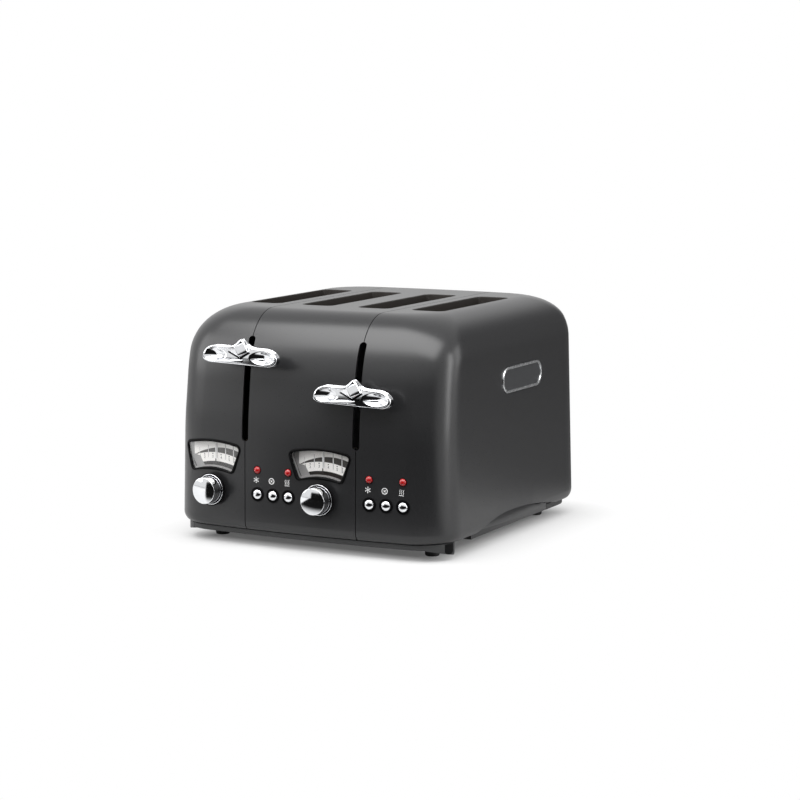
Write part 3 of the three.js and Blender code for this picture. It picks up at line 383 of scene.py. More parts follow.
grained("wire_steel", (0.5, 0.5, 0.49), 1.0, 0.3, 600, 0.1, 0.05)
grained("dark_steel", (0.07, 0.07, 0.073), 0.8, 0.45, 500, 0.1, 0.08)
grained("mica", (0.42, 0.35, 0.25), 0.0, 0.6, 160, 0.15, 0.2)
grained("board_green", (0.02, 0.1, 0.04), 0.0, 0.35, 500, 0.08, 0.05)
grained("rubber", (0.012, 0.012, 0.012), 0.0, 0.75, 900, 0.1, 0.2)
pane = grained("window_clear", (0.95, 0.97, 0.97), 1.0, 0.04, 200, 0.01, 0.0)
mirrored = add_node(pane.node_tree, "LayerWeight", {"Blend": 0.1})
feed(pane.node_tree.nodes["Principled BSDF"], {"Alpha": mirrored.outputs["Facing"]})
print("finishes:", len(materials))

# %% [markdown]
# ## The three shells
# On the real toaster the shell is drawn and welded sheet with an enamel finish, in three parts
# that meet at the lever slits. It could be carved from a box with a Subdivision modifier, but its
# roundings differ on each side, so a stack of outlines is safer: each ring is the plan outline at
# its height. A Solidify modifier gives the wall and Booleans cut the openings.

# %% Rings of the skin
RING_STEPS = 168
hem_levels = [BOTTOM + HEM[1] * t for t in (0, 0.06, 0.15, 0.3, 0.5, 0.75, 1)]
wall_levels = [45, 62, 80, 95, 105, 110, 115, 120, 125, 130, 135, 147, TOP - FRONT_ROUND[1]]
round_levels = [TOP - FRONT_ROUND[1] * (1 - math.sin(math.radians(a))) for a in range(4, 89, 4)]
round_levels += [TOP - 0.015, TOP]
ring_levels = sorted(set(hem_levels + wall_levels + round_levels))
outer = bmesh.new()
loops = []
for z in ring_levels:
    loops.append(add_loop(outer, [outline_point(i / RING_STEPS, z) for i in range(RING_STEPS)]))
skin_between(outer, loops)
outer.faces.new(loops[-1])
print("rings:", len(ring_levels), "faces:", len(outer.faces))
skin = finish_piece("shell_blank", outer, "grey_enamel", body=None)
with_modifier(skin, "SOLIDIFY", thickness=WALL * MM, offset=-1.0, use_even_offset=True)
print("blank:", len(skin.data.polygons), "faces")

# %% Cutters for the openings
def rounded_rectangle(x0, x1, y0, y1, r, steps=10):
    points = []
    low_x, high_x, low_y, high_y = x0 + r, x1 - r, y0 + r, y1 - r
    corners = ((high_x, low_y, -90), (high_x, high_y, 0), (low_x, high_y, 90), (low_x, low_y, 180))
    for cx, cy, start in corners:
        for i in range(steps + 1):
            angle = math.radians(start + 90 * i / steps)
            points.append((cx + r * math.cos(angle), cy + r * math.sin(angle)))
    return points


def cutter(loops):
    bm = solid_from_loops(loops)
    bmesh.ops.recalc_face_normals(bm, faces=bm.faces)
    return object_from(bm, "cutter")


def slot_points(x, grow):
    half, front, rear = SLOT_WIDTH / 2 + grow, SLOT_FRONT - grow, SLOT_REAR + grow
    return rounded_rectangle(x - half, x + half, front, rear, SLOT_CORNER + grow)


def across_z(points, z0, z1):
    return [[(x, y, z0) for x, y in points], [(x, y, z1) for x, y in points]]


def across_y(points, y0, y1):
    return [[(x, y0, z) for x, z in points], [(x, y1, z) for x, z in points]]


def across_x(points, x0, x1):
    return [[(x0, y, z) for y, z in points], [(x1, y, z) for y, z in points]]


slot_xs = [u + side * SLOT_PITCH / 2 for u in UNIT_X.values() for side in (-1, 1)]
MOUTH_GAP = 0.5
cutters = []
for x in slot_xs:
    cutters.append(cutter(across_z(slot_points(x, MOUTH_GAP), TOP - 30, TOP + 20)))
print("slots at", [round(x, 1) for x in slot_xs])

# %% The gauge's outline
KNOB_X, KNOB_Z = -37.0, 54.5
GAUGE_TOP, GAUGE_LOW = (30.4, 41.6), (21.2, 17.4)
CROWN, LOW_CROWN, GAUGE_CORNER, GAUGE_WIDER, GAUGE_LEFT = 46.0, 21.5, 3.4, 1.063, 1.9
CORNER_STEPS, ARC_STEPS = 6, 20


def quadratic(a, c, b, steps):
    """Points on the curve from a to b that bends towards c, without b itself."""
    a, c, b = Vector(a), Vector(c), Vector(b)
    shares = (i / steps for i in range(steps))
    return [tuple(a * (1 - t) ** 2 + c * 2 * t * (1 - t) + b * t * t) for t in shares]


def straight(a, b, steps):
    return [tuple(Vector(a).lerp(Vector(b), i / steps)) for i in range(steps)]


def fan(grow):
    """The window's outline about the knob: an arc above, an arc below, slanted ends, round corners."""
    top, low = GAUGE_TOP[0] + grow, GAUGE_LOW[0] + grow
    top_z, low_z = GAUGE_TOP[1] + grow * 0.8, GAUGE_LOW[1] - grow
    crown, low_crown, r = CROWN + grow, LOW_CROWN - grow, GAUGE_CORNER + grow
    lean = (top - low) / (top_z - low_z)
    low_end, top_end = low_z + r * 0.35, top_z + r * 0.35
    right = [(low - r * 0.9, low_end), (low, low_z), (low + r * lean, low_z + r)]
    right += [(top - r * lean, top_z - r), (top, top_z), (top - r, top_end)]
    left = [(-x, z) for x, z in reversed(right)]
    points = []
    sides = (right, crown * 2 - top_end, left[0]), (left, low_crown * 2 - low_end, right[0])
    for ends, over, after in sides:
        points += quadratic(*ends[:3], CORNER_STEPS) + straight(*ends[2:4], CORNER_STEPS)
        points += quadratic(*ends[3:], CORNER_STEPS) + quadratic(ends[5], (0, over), after, ARC_STEPS)
    return [(x * GAUGE_WIDER - GAUGE_LEFT, z) for x, z in points]


# %% Cutters on the front
BUTTON_XS, BUTTON_Z = {"defrost": 14.5, "cancel": 31.95, "warm": 49.4}, 53.5
LAMP_XS, LAMP_Z = {"defrost": 14.2, "warm": 49.0}, 77.1
SLIT_WIDTH, SLIT_LOW, SLIT_HIGH = 7.5, 103.9, 204.7
KNOB_HOLE, BUTTON_HOLE, LAMP_HOLE, HOLE_DEEP, WINDOW_GROW = 3.3, 6.4, 3.9, 16, 1.5


def front_hole(x, z, radius):
    bm = bmesh.new()
    size = {"radius1": radius * MM, "radius2": radius * MM, "depth": HOLE_DEEP * MM}
    bmesh.ops.create_cone(bm, cap_ends=True, segments=48, matrix=front_pose(x, z), **size)
    return object_from(bm, "cutter")


for u in UNIT_X.values():
    x = u + KNOB_X
    window = [(x + px, KNOB_Z + pz) for px, pz in fan(WINDOW_GROW)]
    mid = front_y(x, KNOB_Z)
    cutters.append(cutter(across_y(window, mid - 15, mid + 22)))
    cutters.append(front_hole(x, KNOB_Z, KNOB_HOLE))
    cutters += [front_hole(u + dx, BUTTON_Z, BUTTON_HOLE) for dx in BUTTON_XS.values()]
    cutters += [front_hole(u + dx, LAMP_Z, LAMP_HOLE) for dx in LAMP_XS.values()]
    half = SLIT_WIDTH / 2
    slit = rounded_rectangle(u - half, u + half, SLIT_LOW, SLIT_HIGH, half - 0.3)
    cutters.append(cutter(across_y(slit, -DEPTH, -80)))
print("cutters:", len(cutters))

# %% Cutters on the sides and back
ARCH_FRONT, ARCH_PEAK, ARCH_REAR, ARCH_LOW, ARCH_HIGH = -90.0, -15.0, 111.0, 16.0, 29.5


def arch_points(grow):
    """Half a parabola up from the front to the peak and half a parabola down to the rear."""
    front, rear = ARCH_FRONT - grow, ARCH_REAR + grow
    low, high = ARCH_LOW + grow, ARCH_HIGH + grow
    up = quadratic((front, low), ((front + ARCH_PEAK) / 2, high), (ARCH_PEAK, high), 24)
    down = quadratic((ARCH_PEAK, high), ((ARCH_PEAK + rear) / 2, high), (rear, low), 24)
    return [(front, 4), *up, *down, (rear, low), (rear, 4)]


for sign in (-1, 1):
    span = sorted((sign * (WIDTH / 2 - 14), sign * (WIDTH / 2 + 14)))
    cutters.append(cutter(across_x(arch_points(0), *span)))
BADGE_Y, BADGE_Z, BADGE_LONG, BADGE_HIGH = 17.6, 158.2, 90.0, 26.0
side_x = WIDTH / 2 - SIDE_DRAFT * (BADGE_Z - DRAFT_FROM)


def badge_points(grow):
    hy, hz = BADGE_LONG / 2 + grow, BADGE_HIGH / 2 + grow
    return rounded_rectangle(BADGE_Y - hy, BADGE_Y + hy, BADGE_Z - hz, BADGE_Z + hz, hz - 0.5, steps=16)


cutters.append(cutter(across_x(badge_points(0.3), side_x - 1.1, side_x + 9)))
INLET_X, INLET_Z, INLET_RADIUS, NOTCH = 96.0, 36.0, 7.5, 3.4
cutters.append(cutter(across_y(circle(INLET_X, INLET_Z, INLET_RADIUS, 40), 120, DEPTH)))
for x in UNIT_X.values():
    half = SEAM_GAP / 2
    seam = [(x - half, 0), (x + half, 0), (x + half, TOP + 20), (x - half, TOP + 20)]
    cutters.append(cutter(across_y(seam, -DEPTH, DEPTH)))
    flare = quadratic((x + NOTCH, BOTTOM), (x, BOTTOM), (x, BOTTOM + NOTCH), 6)
    notch = [(x - NOTCH, 8), (x + NOTCH, 8), (x + NOTCH, BOTTOM), *flare, (x, BOTTOM + NOTCH)]
    notch += [(2 * x - px, pz) for px, pz in reversed(flare)]
    cutters.append(cutter(across_y(notch, -DEPTH, DEPTH)))

# %% Cut the blank and part it into three
def cut_away(piece, made):
    with_modifier(piece, "BOOLEAN", object=made, operation="DIFFERENCE", solver="EXACT")
    bpy.data.objects.remove(made, do_unlink=True)


for made in cutters:
    cut_away(skin, made)
print("cut blank:", len(skin.data.polygons), "faces")


def shell_part(name, low_x, high_x):
    bm = bmesh.new()
    bm.from_mesh(skin.data)
    drop = [v for v in bm.verts if not (low_x * MM < v.co.x < high_x * MM)]
    bmesh.ops.delete(bm, geom=drop, context="VERTS")
    bmesh.ops.remove_doubles(bm, verts=bm.verts, dist=2e-6)
    bmesh.ops.dissolve_degenerate(bm, edges=bm.edges, dist=1e-5)
    piece = finish_piece(name, bm, "grey_enamel", stands_for=(name,), smooth=24, recalc=False)
    print(name, len(piece.data.polygons), "faces")
    return piece


shell_part("housing_left", -WIDTH, UNIT_X["left"])
shell_part("housing_middle", UNIT_X["left"], UNIT_X["right"])
shell_part("housing_right", UNIT_X["right"], WIDTH)
bpy.data.objects.remove(skin, do_unlink=True)

# %% [markdown]
# ## The slot mouths
# Inside each opening in the top, the real toaster has a folded sheet frame that guides the slice and
# keeps the heat off the enamel. It could be bent up from a flat strip; a ring swept round the slot's
# own outline gives the same form with its rolled upper edge.

# %% Slot mouths
MOUTH_DEEP = 15.0
mouth_profile = [(0.3, -1.6), (0.3, -0.5), (0.0, -0.15), (-0.5, -0.1), (-0.9, -0.5), (-0.9, -1.6)]
mouth_profile += [(-0.9, -MOUTH_DEEP), (0.3, -MOUTH_DEEP)]
for number, slot_x in enumerate(slot_xs, start=1):
    loops = []
    for grow, z in mouth_profile:
        loops.append([(px, py, TOP + z) for px, py in slot_points(slot_x, grow)])
    mouth = solid_from_loops(loops, close=True)
    finish_piece(f"slot_mouth_{number}", mouth, "slot_coating", smooth=40)
print("slot mouths made")

# %% [markdown]
# ## Base, feet and crumb trays
# The base pan is a black moulding that closes the shell below and shows as a thin skirt. It is made
# from the same plan outline, drawn in by a few millimetres, so that it keeps an even step all round.
# The feet are turned rubber pads. The trays are shallow steel pans with an upright front.

# %% Base pan blank
BASE_LOW, SKIRT_INSET, SKIRT_WALL, FLOOR = 11.4, 4.9, 5.0, 2.4
TRAY_FRONT, TRAY_REAR, TRAY_OUT, TRAY_IN, TRAY_LOW, TRAY_HIGH = -71.8, 71.8, 142.2, 6.0, 13.0, 16.8
FACE_FRONT, FACE_REAR, FACE_THICK = -80.0, 90.6, 2.7
CORNER_FROM, CORNER_TO, CORNER_IN = -127.0, -83.0, 22.0
BEHIND_FROM, BEHIND_OVER, BEHIND_IN, BEHIND_NARROWER = 95, 55, 8, 0.02


def plan(z, inset):
    """The base's outline; behind, it is drawn in further."""
    made = []
    for i in range(RING_STEPS):
        p = outline_point(i / RING_STEPS, DRAFT_FROM, -inset)
        behind = min(1.0, max(0.0, (p.y - BEHIND_FROM) / BEHIND_OVER))
        made.append((p.x * (1 - BEHIND_NARROWER * behind), p.y - BEHIND_IN * behind * behind, z))
    return made


wall_top, rim_top = BOTTOM - 0.3, BOTTOM + 7
inner = SKIRT_INSET + SKIRT_WALL
base_profile = [
    (inner + 1, BASE_LOW),
    (SKIRT_INSET + 2.0, BASE_LOW),
    (SKIRT_INSET + 0.9, BASE_LOW + 0.3),
    (SKIRT_INSET + 0.25, BASE_LOW + 0.9),
    (SKIRT_INSET, BASE_LOW + 2.0),
    (SKIRT_INSET, wall_top - 0.4),
    (SKIRT_INSET + 0.4, wall_top),
    (inner - 1, wall_top),
    (inner - 1, rim_top),
    (inner + 1, rim_top),
    (inner + 1, BASE_LOW + FLOOR),
]
blank = solid_from_loops([plan(z, inset) for inset, z in base_profile])
base = finish_piece("base_pan", blank, "base_plastic", body=None, smooth=30)
print("base blank:", len(base.data.polygons), "faces")

# %% Cuts in the base pan
def side_block(sign, x0, x1, y0, y1, z0=BASE_LOW - 3):
    corners = [(y0, z0), (y1, z0), (y1, TOP), (y0, TOP)]
    return cutter(across_x(corners, *sorted((sign * x0, sign * x1))))


PLAY = 0.3
inner_face = TRAY_OUT - FACE_THICK - PLAY
BLOCKS = {
    "side": (TRAY_OUT, WIDTH, -DEPTH, DEPTH),
    "channel": (TRAY_IN - PLAY, WIDTH, TRAY_FRONT - PLAY, TRAY_REAR + PLAY),
    "face": (inner_face, WIDTH, FACE_FRONT - PLAY, FACE_REAR + PLAY),
    "corner": (WIDTH / 2 - CORNER_IN, WIDTH, CORNER_FROM, CORNER_TO),
    "open end": (TRAY_OUT - 2.9, TRAY_OUT - 0.9, -129.5, -112, BASE_LOW + 1.3),
}
for sign in (-1, 1):
    for sizes in BLOCKS.values():
        cut_away(base, side_block(sign, *sizes))
shade(base, 30)
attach(base, "frame")
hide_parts("base_pan")

bm = bmesh.new()
for sign in (-1, 1):
    low_x, high_x = sorted((sign * TRAY_IN, sign * inner_face))
    for y0, y1 in ((TRAY_FRONT - 2, TRAY_FRONT + 3.6), (TRAY_REAR - 3.6, TRAY_REAR + 2)):
        boxed(bm, (low_x, y0, BASE_LOW), (high_x, y1, TRAY_LOW - PLAY))
finish_piece("tray_ledges", bm, "base_plastic", smooth=30)

# %% Ends of the front skirt
END_LOW, END_FROM, END_TO, END_Y = 5.0, 0.3615, 0.3897, -124.6
END_OUTSIDE, END_INSIDE, END_TUCK, END_RISE = 4.85, 7.6, 0.997, 3.5
CURVED, STRAIGHT, END_START = 24, 6, BASE_LOW + 0.4
OPENING_STEPS, OPENING_GAP, OPENING_LONG, OPENING_OUT, OPENING_DEEP = 10, 0.0007, 0.0098, 4.75, 5.4
OPENING_LOW, OPENING_ARCH = 1.5, 2.4


def skirt_end(side):
    """The skirt runs round the front corner, drops to a lower edge and ends in an open channel, whose
    dark inside is a black block of painted shade.
    """

    def at(share, inset):
        return outline_point(share if side == "right" else 0.5 - share, DRAFT_FROM, -inset)

    loops = []
    for k in range(CURVED + STRAIGHT + 1):
        t = min(1, k / CURVED)
        share = END_FROM + (END_TO - END_FROM) * t
        low = END_START + (END_LOW - END_START) * t
        out, back = at(share, END_OUTSIDE), at(share, END_INSIDE)
        if k > CURVED:
            past = (k - CURVED) / STRAIGHT
            out.y += (END_Y - out.y) * past
            back.y += (END_Y - back.y) * past
            low += END_RISE * past**4
        loop = [(out.x, out.y, wall_top), (out.x, out.y, low + 0.6), (out.x * END_TUCK, out.y, low)]
        loops.append(loop + [(back.x, back.y, low), (back.x, back.y, wall_top)])
    finish_piece(f"skirt_end_{side}", solid_from_loops(loops), "base_plastic", smooth=40)
    # A black block inside the channel's mouth: painted shade where the opening is dark.
    loops = []
    for k in range(OPENING_STEPS + 1):
        t = k / OPENING_STEPS
        share = END_TO - OPENING_GAP - OPENING_LONG * t
        low, high = END_LOW + OPENING_LOW + OPENING_ARCH * abs(2 * t - 1) ** 3, wall_top - 0.3
        (x0, y0, _), (x1, y1, _) = at(share, OPENING_OUT), at(share, OPENING_DEEP)
        loops.append([(x0, y0, high), (x0, y0, low), (x1, y1, low), (x1, y1, high)])
    finish_piece(f"skirt_mouth_shade_{side}", solid_from_loops(loops), "bezel_black", smooth=30)


for side in UNIT_X:
    skirt_end(side)
print("base:", len(base.data.polygons), "faces")

# %% Feet
foot_profile = fillet([(0, 0), (6.8, 0), (7.9, 11.1), (0, 11.1)], 1.4)
for node in [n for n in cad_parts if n.startswith("foot_")]:
    low, high = (Vector(corner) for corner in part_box(node))
    bm = spun(foot_profile, 48)
    bmesh.ops.translate(bm, verts=bm.verts, vec=((low.x + high.x) / 2, (low.y + high.y) / 2, 0))
    finish_piece(node, bm, "rubber", stands_for=(node,), smooth=35)
print("feet made")

# %% Crumb trays
TRAY_WALL = 1.2


def crumb_tray(side):
    sign = -1 if side == "left" else 1
    x0, x1 = sorted((sign * TRAY_IN, sign * (TRAY_OUT - 0.5)))
    inside = (x0 + TRAY_WALL, x1 - TRAY_WALL, TRAY_FRONT + TRAY_WALL, TRAY_REAR - TRAY_WALL)
    rim = rounded_rectangle(x0, x1, TRAY_FRONT, TRAY_REAR, 3, steps=5)
    hollow = rounded_rectangle(*inside, 2, steps=5)
    levels = [(rim, TRAY_LOW), (rim, TRAY_HIGH), (hollow, TRAY_HIGH), (hollow, TRAY_LOW + 1)]
    pan = solid_from_loops([[(px, py, z) for px, py in points] for points, z in levels])
    finish_piece(f"crumb_tray_pan_{side}", pan, "dark_steel", f"tray_{side}", (), 30)

    arc = [p for p in arch_points(-1.6) if FACE_FRONT < p[0] < FACE_REAR and p[1] > ARCH_LOW]
    top = [(FACE_FRONT, arc[0][1])] + arc + [(FACE_REAR, arc[-1][1])]
    outline = [(FACE_FRONT, BASE_LOW), *top, (FACE_REAR, BASE_LOW)]
    centre = ((FACE_FRONT + FACE_REAR) / 2, (BASE_LOW + ARCH_HIGH) / 2)

    def face_loop(by, deep):
        """The outline drawn in by some millimetres, at a depth behind the face."""
        x, made = sign * (TRAY_OUT - deep), []
        for y, z in outline:
            made.append((x, y + math.copysign(by, centre[0] - y), z + math.copysign(by, centre[1] - z)))
        return made

    wall = [(0.0, FACE_THICK), (0.0, 0.5), (0.15, 0.15), (0.5, 0.0)]
    face = solid_from_loops([face_loop(by, deep) for by, deep in wall])
    node = f"crumb_tray_{side}"
    return finish_piece(node, face, "grey_enamel", f"tray_{side}", (node,), 30)


for side in UNIT_X:
    crumb_tray(side)
print("trays made")

# %% [markdown]
# ## Knobs, buttons and lamps
# Round pieces are turned parts, so they are spun from their profile. A spin needs half the section,
# from the axis out to the rim and back to the axis; rounding its corners first gives the soft,
# bright edges that plated parts have.

# %% Knobs
def turned_piece(name, profile, x, z, material, body, stands_for=(), steps=72):
    bm = spun(profile, steps)
    bmesh.ops.transform(bm, matrix=front_pose(x, z), verts=bm.verts)
    return finish_piece(name, bm, material, body, stands_for, 40)


KNOB_DOME = [(r, 17.2 + 1.5 * (1 - (r / 12.2) ** 2)) for r in (0, 2.5, 5, 7.5, 9.5, 11, 12)]
knob_profile = KNOB_DOME + fillet([(12, 17.25), (12.85, 17.05), (13.4, 5.3)], 0.5)[1:]
knob_profile += [(3.0, 5.3), (3.0, -22), (0, -22)]
ring_profile = fillet([(14.3, 5.2), (14.3, 5.9), (14.9, 5.9), (14.9, 5.2), (14.3, 5.2)], 0.28)
plate_profile = [(3.2, 5.4), (16.1, 5.4), (16.1, 3.9), (11.2, 3.9), (11.2, 0.8), (3.2, 0.8)]
plate_profile = fillet(plate_profile, 0.5) + [(3.2, 5.4)]
seat_profile = fillet([(11.0, -0.4), (13.6, -0.4), (13.6, 0.45), (11.0, 0.45), (11.0, -0.4)], 0.25, 3)
for side, u in UNIT_X.items():
    x, node = u + KNOB_X, f"knob_{side}"
    turned_piece(node, knob_profile, x, KNOB_Z, "chrome", node, (node,), 96)
    turned_piece(f"knob_ring_{side}", ring_profile, x, KNOB_Z, "chrome", node, (), 96)
    turned_piece(f"knob_plate_{side}", plate_profile, x, KNOB_Z, "bezel_black", node, (), 96)
    turned_piece(f"knob_seat_{side}", seat_profile, x, KNOB_Z, "bezel_black", "frame")
print("knobs made")

# %% Push buttons and their collars
button_profile = [(0, 2.55), (1.6, 2.48), (3.1, 2.15), (4.1, 1.6), (4.65, 0.9), (4.8, 0.1), (4.8, -4.2)]
button_profile += [(3.4, -4.2), (3.4, -11), (0, -11)]
collar_profile = [(4.98, -3.5), (4.98, 0.6), (7.1, 0.6), (7.1, -0.3), (6.3, -0.3), (6.3, -3.5)]
collar_profile = fillet(collar_profile + collar_profile[:1], 0.3)
for side, u in UNIT_X.items():
    for name, dx in BUTTON_XS.items():
        node, ring, x = f"button_{name}_{side}", f"button_ring_{name}_{side}", u + dx
        turned_piece(node, button_profile, x, BUTTON_Z, "chrome", node, (node,), 56)
        turned_piece(ring, collar_profile, x, BUTTON_Z, "bezel_black", "frame")
print("buttons made")

# %% Lamps
lamp_profile = [(0, 2.6), (1.1, 2.5), (2.1, 2.1), (2.95, 1.4), (3.45, 0.5), (3.6, -0.4)]
lamp_profile += [(3.6, -8), (0, -8)]
lamp_ring = fillet([(3.7, -1.5), (3.7, 0.25), (4.15, 0.25), (4.15, -1.5), (3.7, -1.5)], 0.15, 3)
for side, u in UNIT_X.items():
    for name, dx in LAMP_XS.items():
        node = f"lamp_{name}_{side}"
        turned_piece(node, lamp_profile, u + dx, LAMP_Z, "lamp_red", "frame", (node,), 48)
        turned_piece(f"lamp_ring_{name}_{side}", lamp_ring, u + dx, LAMP_Z, "bezel_black", "frame")
print("lamps made")

# %% Printed marks
MARK_Z, MARK_SHIFT, INK_UNDER, INK_OVER, RING_WIDE = 67.4, -1.5, -0.05, 0.07, 0.65


def bar(x, y, long, wide, degrees, lift=0.0):
    """A thin bar of ink, as the four corners of its face and its height."""
    turn, middle = math.radians(degrees), Vector((x, y))
    along = Vector((math.cos(turn), math.sin(turn))) * long / 2
    across = Vector((-math.sin(turn), math.cos(turn))) * wide / 2
    return [middle + along * a + across * b for a, b in ((-1, -1), (1, -1), (1, 1), (-1, 1))], lift


def mark(name, x, bars, radius=None):
    bm = bmesh.new()

    def laid(points, out):
        return [bm.verts.new((x * MM, y * MM, out * MM)) for x, y in points]

    for corners, lift in bars:
        capped_skin(bm, [laid(corners, INK_UNDER), laid(corners, INK_OVER + lift)])
    if radius:
        inner = radius - RING_WIDE
        rims = [(radius, INK_UNDER), (radius, INK_OVER), (inner, INK_OVER), (inner, INK_UNDER)]
        skin_between(bm, [laid(circle(0, 0, r, 40), out) for r, out in rims], close=True)
    bmesh.ops.transform(bm, matrix=front_pose(x, MARK_Z), verts=bm.verts)
    return finish_piece(name, bm, "white_print", smooth=30)


flake = [bar(0, 0, 6.0, 0.42, degrees, 0.01 * number) for number, degrees in enumerate((30, 90, 150))]
for degrees in range(30, 390, 60):
    tip = Vector((math.cos(math.radians(degrees)), math.sin(math.radians(degrees)))) * 2.478
    flake += [bar(tip.x, tip.y, 1.3, 0.34, degrees + bend, 0.03) for bend in (-42, 42)]
stop = [bar(0, 0, 2.8, 0.6, 45), bar(0, 0, 2.8, 0.6, -45, 0.01)]
heat = [bar(0, -3.0, 5.0, 0.5, 0)]
for x in (-1.9, 0, 1.9):
    for y, long, degrees, lift in ((-1.2, 1.5, 65, 0), (0.3, 1.8, 112, 0.01), (1.9, 1.7, 65, 0.02)):
        heat.append(bar(x, y, long, 0.42, degrees, lift))
MARKS = {"defrost": (flake, None), "cancel": (stop, 3.1), "warm": (heat, None)}
for side, u in UNIT_X.items():
    for name, (bars, radius) in MARKS.items():
        mark(f"mark_{name}_{side}", u + BUTTON_XS[name] + MARK_SHIFT, bars, radius)
print("marks made")

# %% [markdown]
# ## Gauges
# A gauge is a window with a black bezel, a clear pane, and a printed scale at the bottom of a
# shallow well. The bezel follows the curved front, so each loop of it is laid on the surface. The
# scale could be painted by a texture, but thin pieces keep it crisp from near by.

# %% Bezel, pane and well
DIAL_DEEP = 7.2


def on_front(unit_x, points, out):
    x0 = unit_x + KNOB_X
    return [(x0 + px, front_y(x0 + px, KNOB_Z + pz) - out, KNOB_Z + pz) for px, pz in points]


def on_dial(unit_x, points, out):
    """Points at a depth behind the flat that touches the front at the knob's axis."""
    x0 = unit_x + KNOB_X
    turn = math.atan(2 * BOW * x0 / (WIDTH / 2) ** 2)
    cos, sin, y0 = math.cos(turn), math.sin(turn), front_y(x0, KNOB_Z)
    return [(x0 + px * cos - out * sin, y0 + px * sin + out * cos, KNOB_Z + pz) for px, pz in points]


BEZEL_PROFILE = [(1.45, -2.6), (1.45, -0.3), (2.8, -0.3), (2.8, 0.45), (2.4, 0.85), (1.5, 1.0)]
BEZEL_PROFILE += [(0.6, 0.8), (0.15, 0.3), (0.1, -2.6)]


def gauge_frame(side, u):
    node = f"gauge_bezel_{side}"
    bm = solid_from_loops([on_front(u, fan(grow), out) for grow, out in BEZEL_PROFILE], close=True)
    finish_piece(node, bm, "bezel_black", stands_for=(node,), smooth=50)
    middle = Vector((-GAUGE_LEFT, (GAUGE_TOP[1] + GAUGE_LOW[1]) / 2 + 4))
    shares = (1, 0.8, 0.55, 0.3, 0.1)

    def shrunk(share):
        return [tuple(middle.lerp(Vector(p), share)) for p in fan(-0.15)]

    bm = bmesh.new()
    front = [add_loop(bm, on_front(u, shrunk(share), -0.5)) for share in shares]
    back = [add_loop(bm, on_front(u, shrunk(share), -1.4)) for share in shares]
    skin_between(bm, front)
    skin_between(bm, back)
    skin_between(bm, [front[0], back[0]])
    bm.faces.new(front[-1])
    bm.faces.new(back[-1])
    node = f"gauge_lens_{side}"
    finish_piece(node, bm, "window_clear", stands_for=(node,), smooth=40)


def flat_piece(name, u, points, out, thick, material):
    loops = [on_dial(u, points, out), on_dial(u, points, out - thick)]
    return finish_piece(name, solid_from_loops(loops), material, smooth=30)


for side, u in UNIT_X.items():
    gauge_frame(side, u)
    if side == "left":
        corners = ((1.4, 2.9), (0.5, 2.9), (0.5, 5.2), (1.4, 5.2))
        well = [on_front(u, fan(grow), -out) for grow, out in corners]
    else:
        corners = ((1.5, 2.9), (0.5, 2.9), (0.5, DIAL_DEEP), (1.5, DIAL_DEEP))
        well = [on_dial(u, fan(grow), out) for grow, out in corners]
    finish_piece(f"gauge_well_{side}", solid_from_loops(well, close=True), "dial_wall", smooth=30)
print("gauge frames made")

# %% The printed scale
# Heights above the knob's axis, as functions of the place across the window.
WINDOW = fan(0.4)


def crossings(x):
    """The heights at which the window's outline is crossed at x."""
    hits = []
    for (x0, z0), (x1, z1) in zip(WINDOW, WINDOW[1:] + WINDOW[:1]):
        if min(x0, x1) <= x <= max(x0, x1) and x0 != x1:
            hits.append(z0 + (z1 - z0) * (x - x0) / (x1 - x0))
    return hits


def window_top(x):
    return max(crossings(x))


def window_low(x):
    return min(crossings(x))


def wedge_top(x):
    return 39.9 - 0.008 * (x - 6.5) ** 2


def wedge_low(x):
    return min(wedge_top(x) - 0.1, 34.8 - 0.0065 * (x + 1.5) ** 2)


def plate_low(x):
    return 26.05 - 0.0074 * (x + 1.0) ** 2


def plate_end(x):
    """The plate's lower left end: a short level edge and then a slant down to the lower band."""
    if x < -20.6:
        return 31.2 - 0.26 * (x + 25.7)
    return 29.9 - 1.79 * (x + 20.6)


def strip(u, x0, x1, top, low, out, thick, steps):
    """A thin sheet between two heights that are functions of x."""
    loops = []
    for i in range(steps + 1):
        x = x0 + (x1 - x0) * i / steps
        high, down = top(x), low(x)
        front = on_dial(u, [(x, high), (x, down)], out)
        back = on_dial(u, [(x, down), (x, high)], out + thick)
        loops.append(front + back)
    return solid_from_loops(loops)


def digit(text, u, side, place, size):
    curve = bpy.data.curves.new(f"digit_{text}", "FONT")
    curve.body = text
    curve.align_x = curve.align_y = "CENTER"
    curve.size = size
    curve.extrude = 0.03
    maker = bpy.data.objects.new("digit_maker", curve)
    bpy.context.collection.objects.link(maker)
    graph = bpy.context.evaluated_depsgraph_get()
    mesh = bpy.data.meshes.new_from_object(maker.evaluated_get(graph))
    bpy.data.objects.remove(maker, do_unlink=True)
    bm = bmesh.new()
    bm.from_mesh(mesh)
    bmesh.ops.remove_doubles(bm, verts=bm.verts, dist=1e-4)
    for corner in bm.verts:
        x, y, deep = corner.co
        corner.co = placed(on_dial(u, [(place[0] + x, place[1] + y)], DIAL_DEEP - 0.06 - deep)[0])
    return finish_piece(f"digit_{text}_{side}", bm, "dial_ink", smooth=30)


# Each line of the scale: its place across, its upper and its lower end, and its width.
LINES = [(-21.4, 38.5, 32.0, 0.4), (-10.8, 41.5, 29.0, 0.7), (-0.5, 44.2, 29.3, 1.2)]
LINES += [(9.8, 44.0, 28.2, 0.9), (19.2, 42.9, 26.5, 0.9)]
NUMERALS = [(-20.6, 29.9), (-15.4, 28.9), (-5.6, 30.2), (4.4, 29.8), (13.9, 28.5), (19.6, 26.8)]


def plate_bottom(x):
    edge = plate_end(x) if x < -17.3 else plate_low(x)
    return max(window_low(x), edge)


def end_top(x):
    return plate_end(x) - 0.5


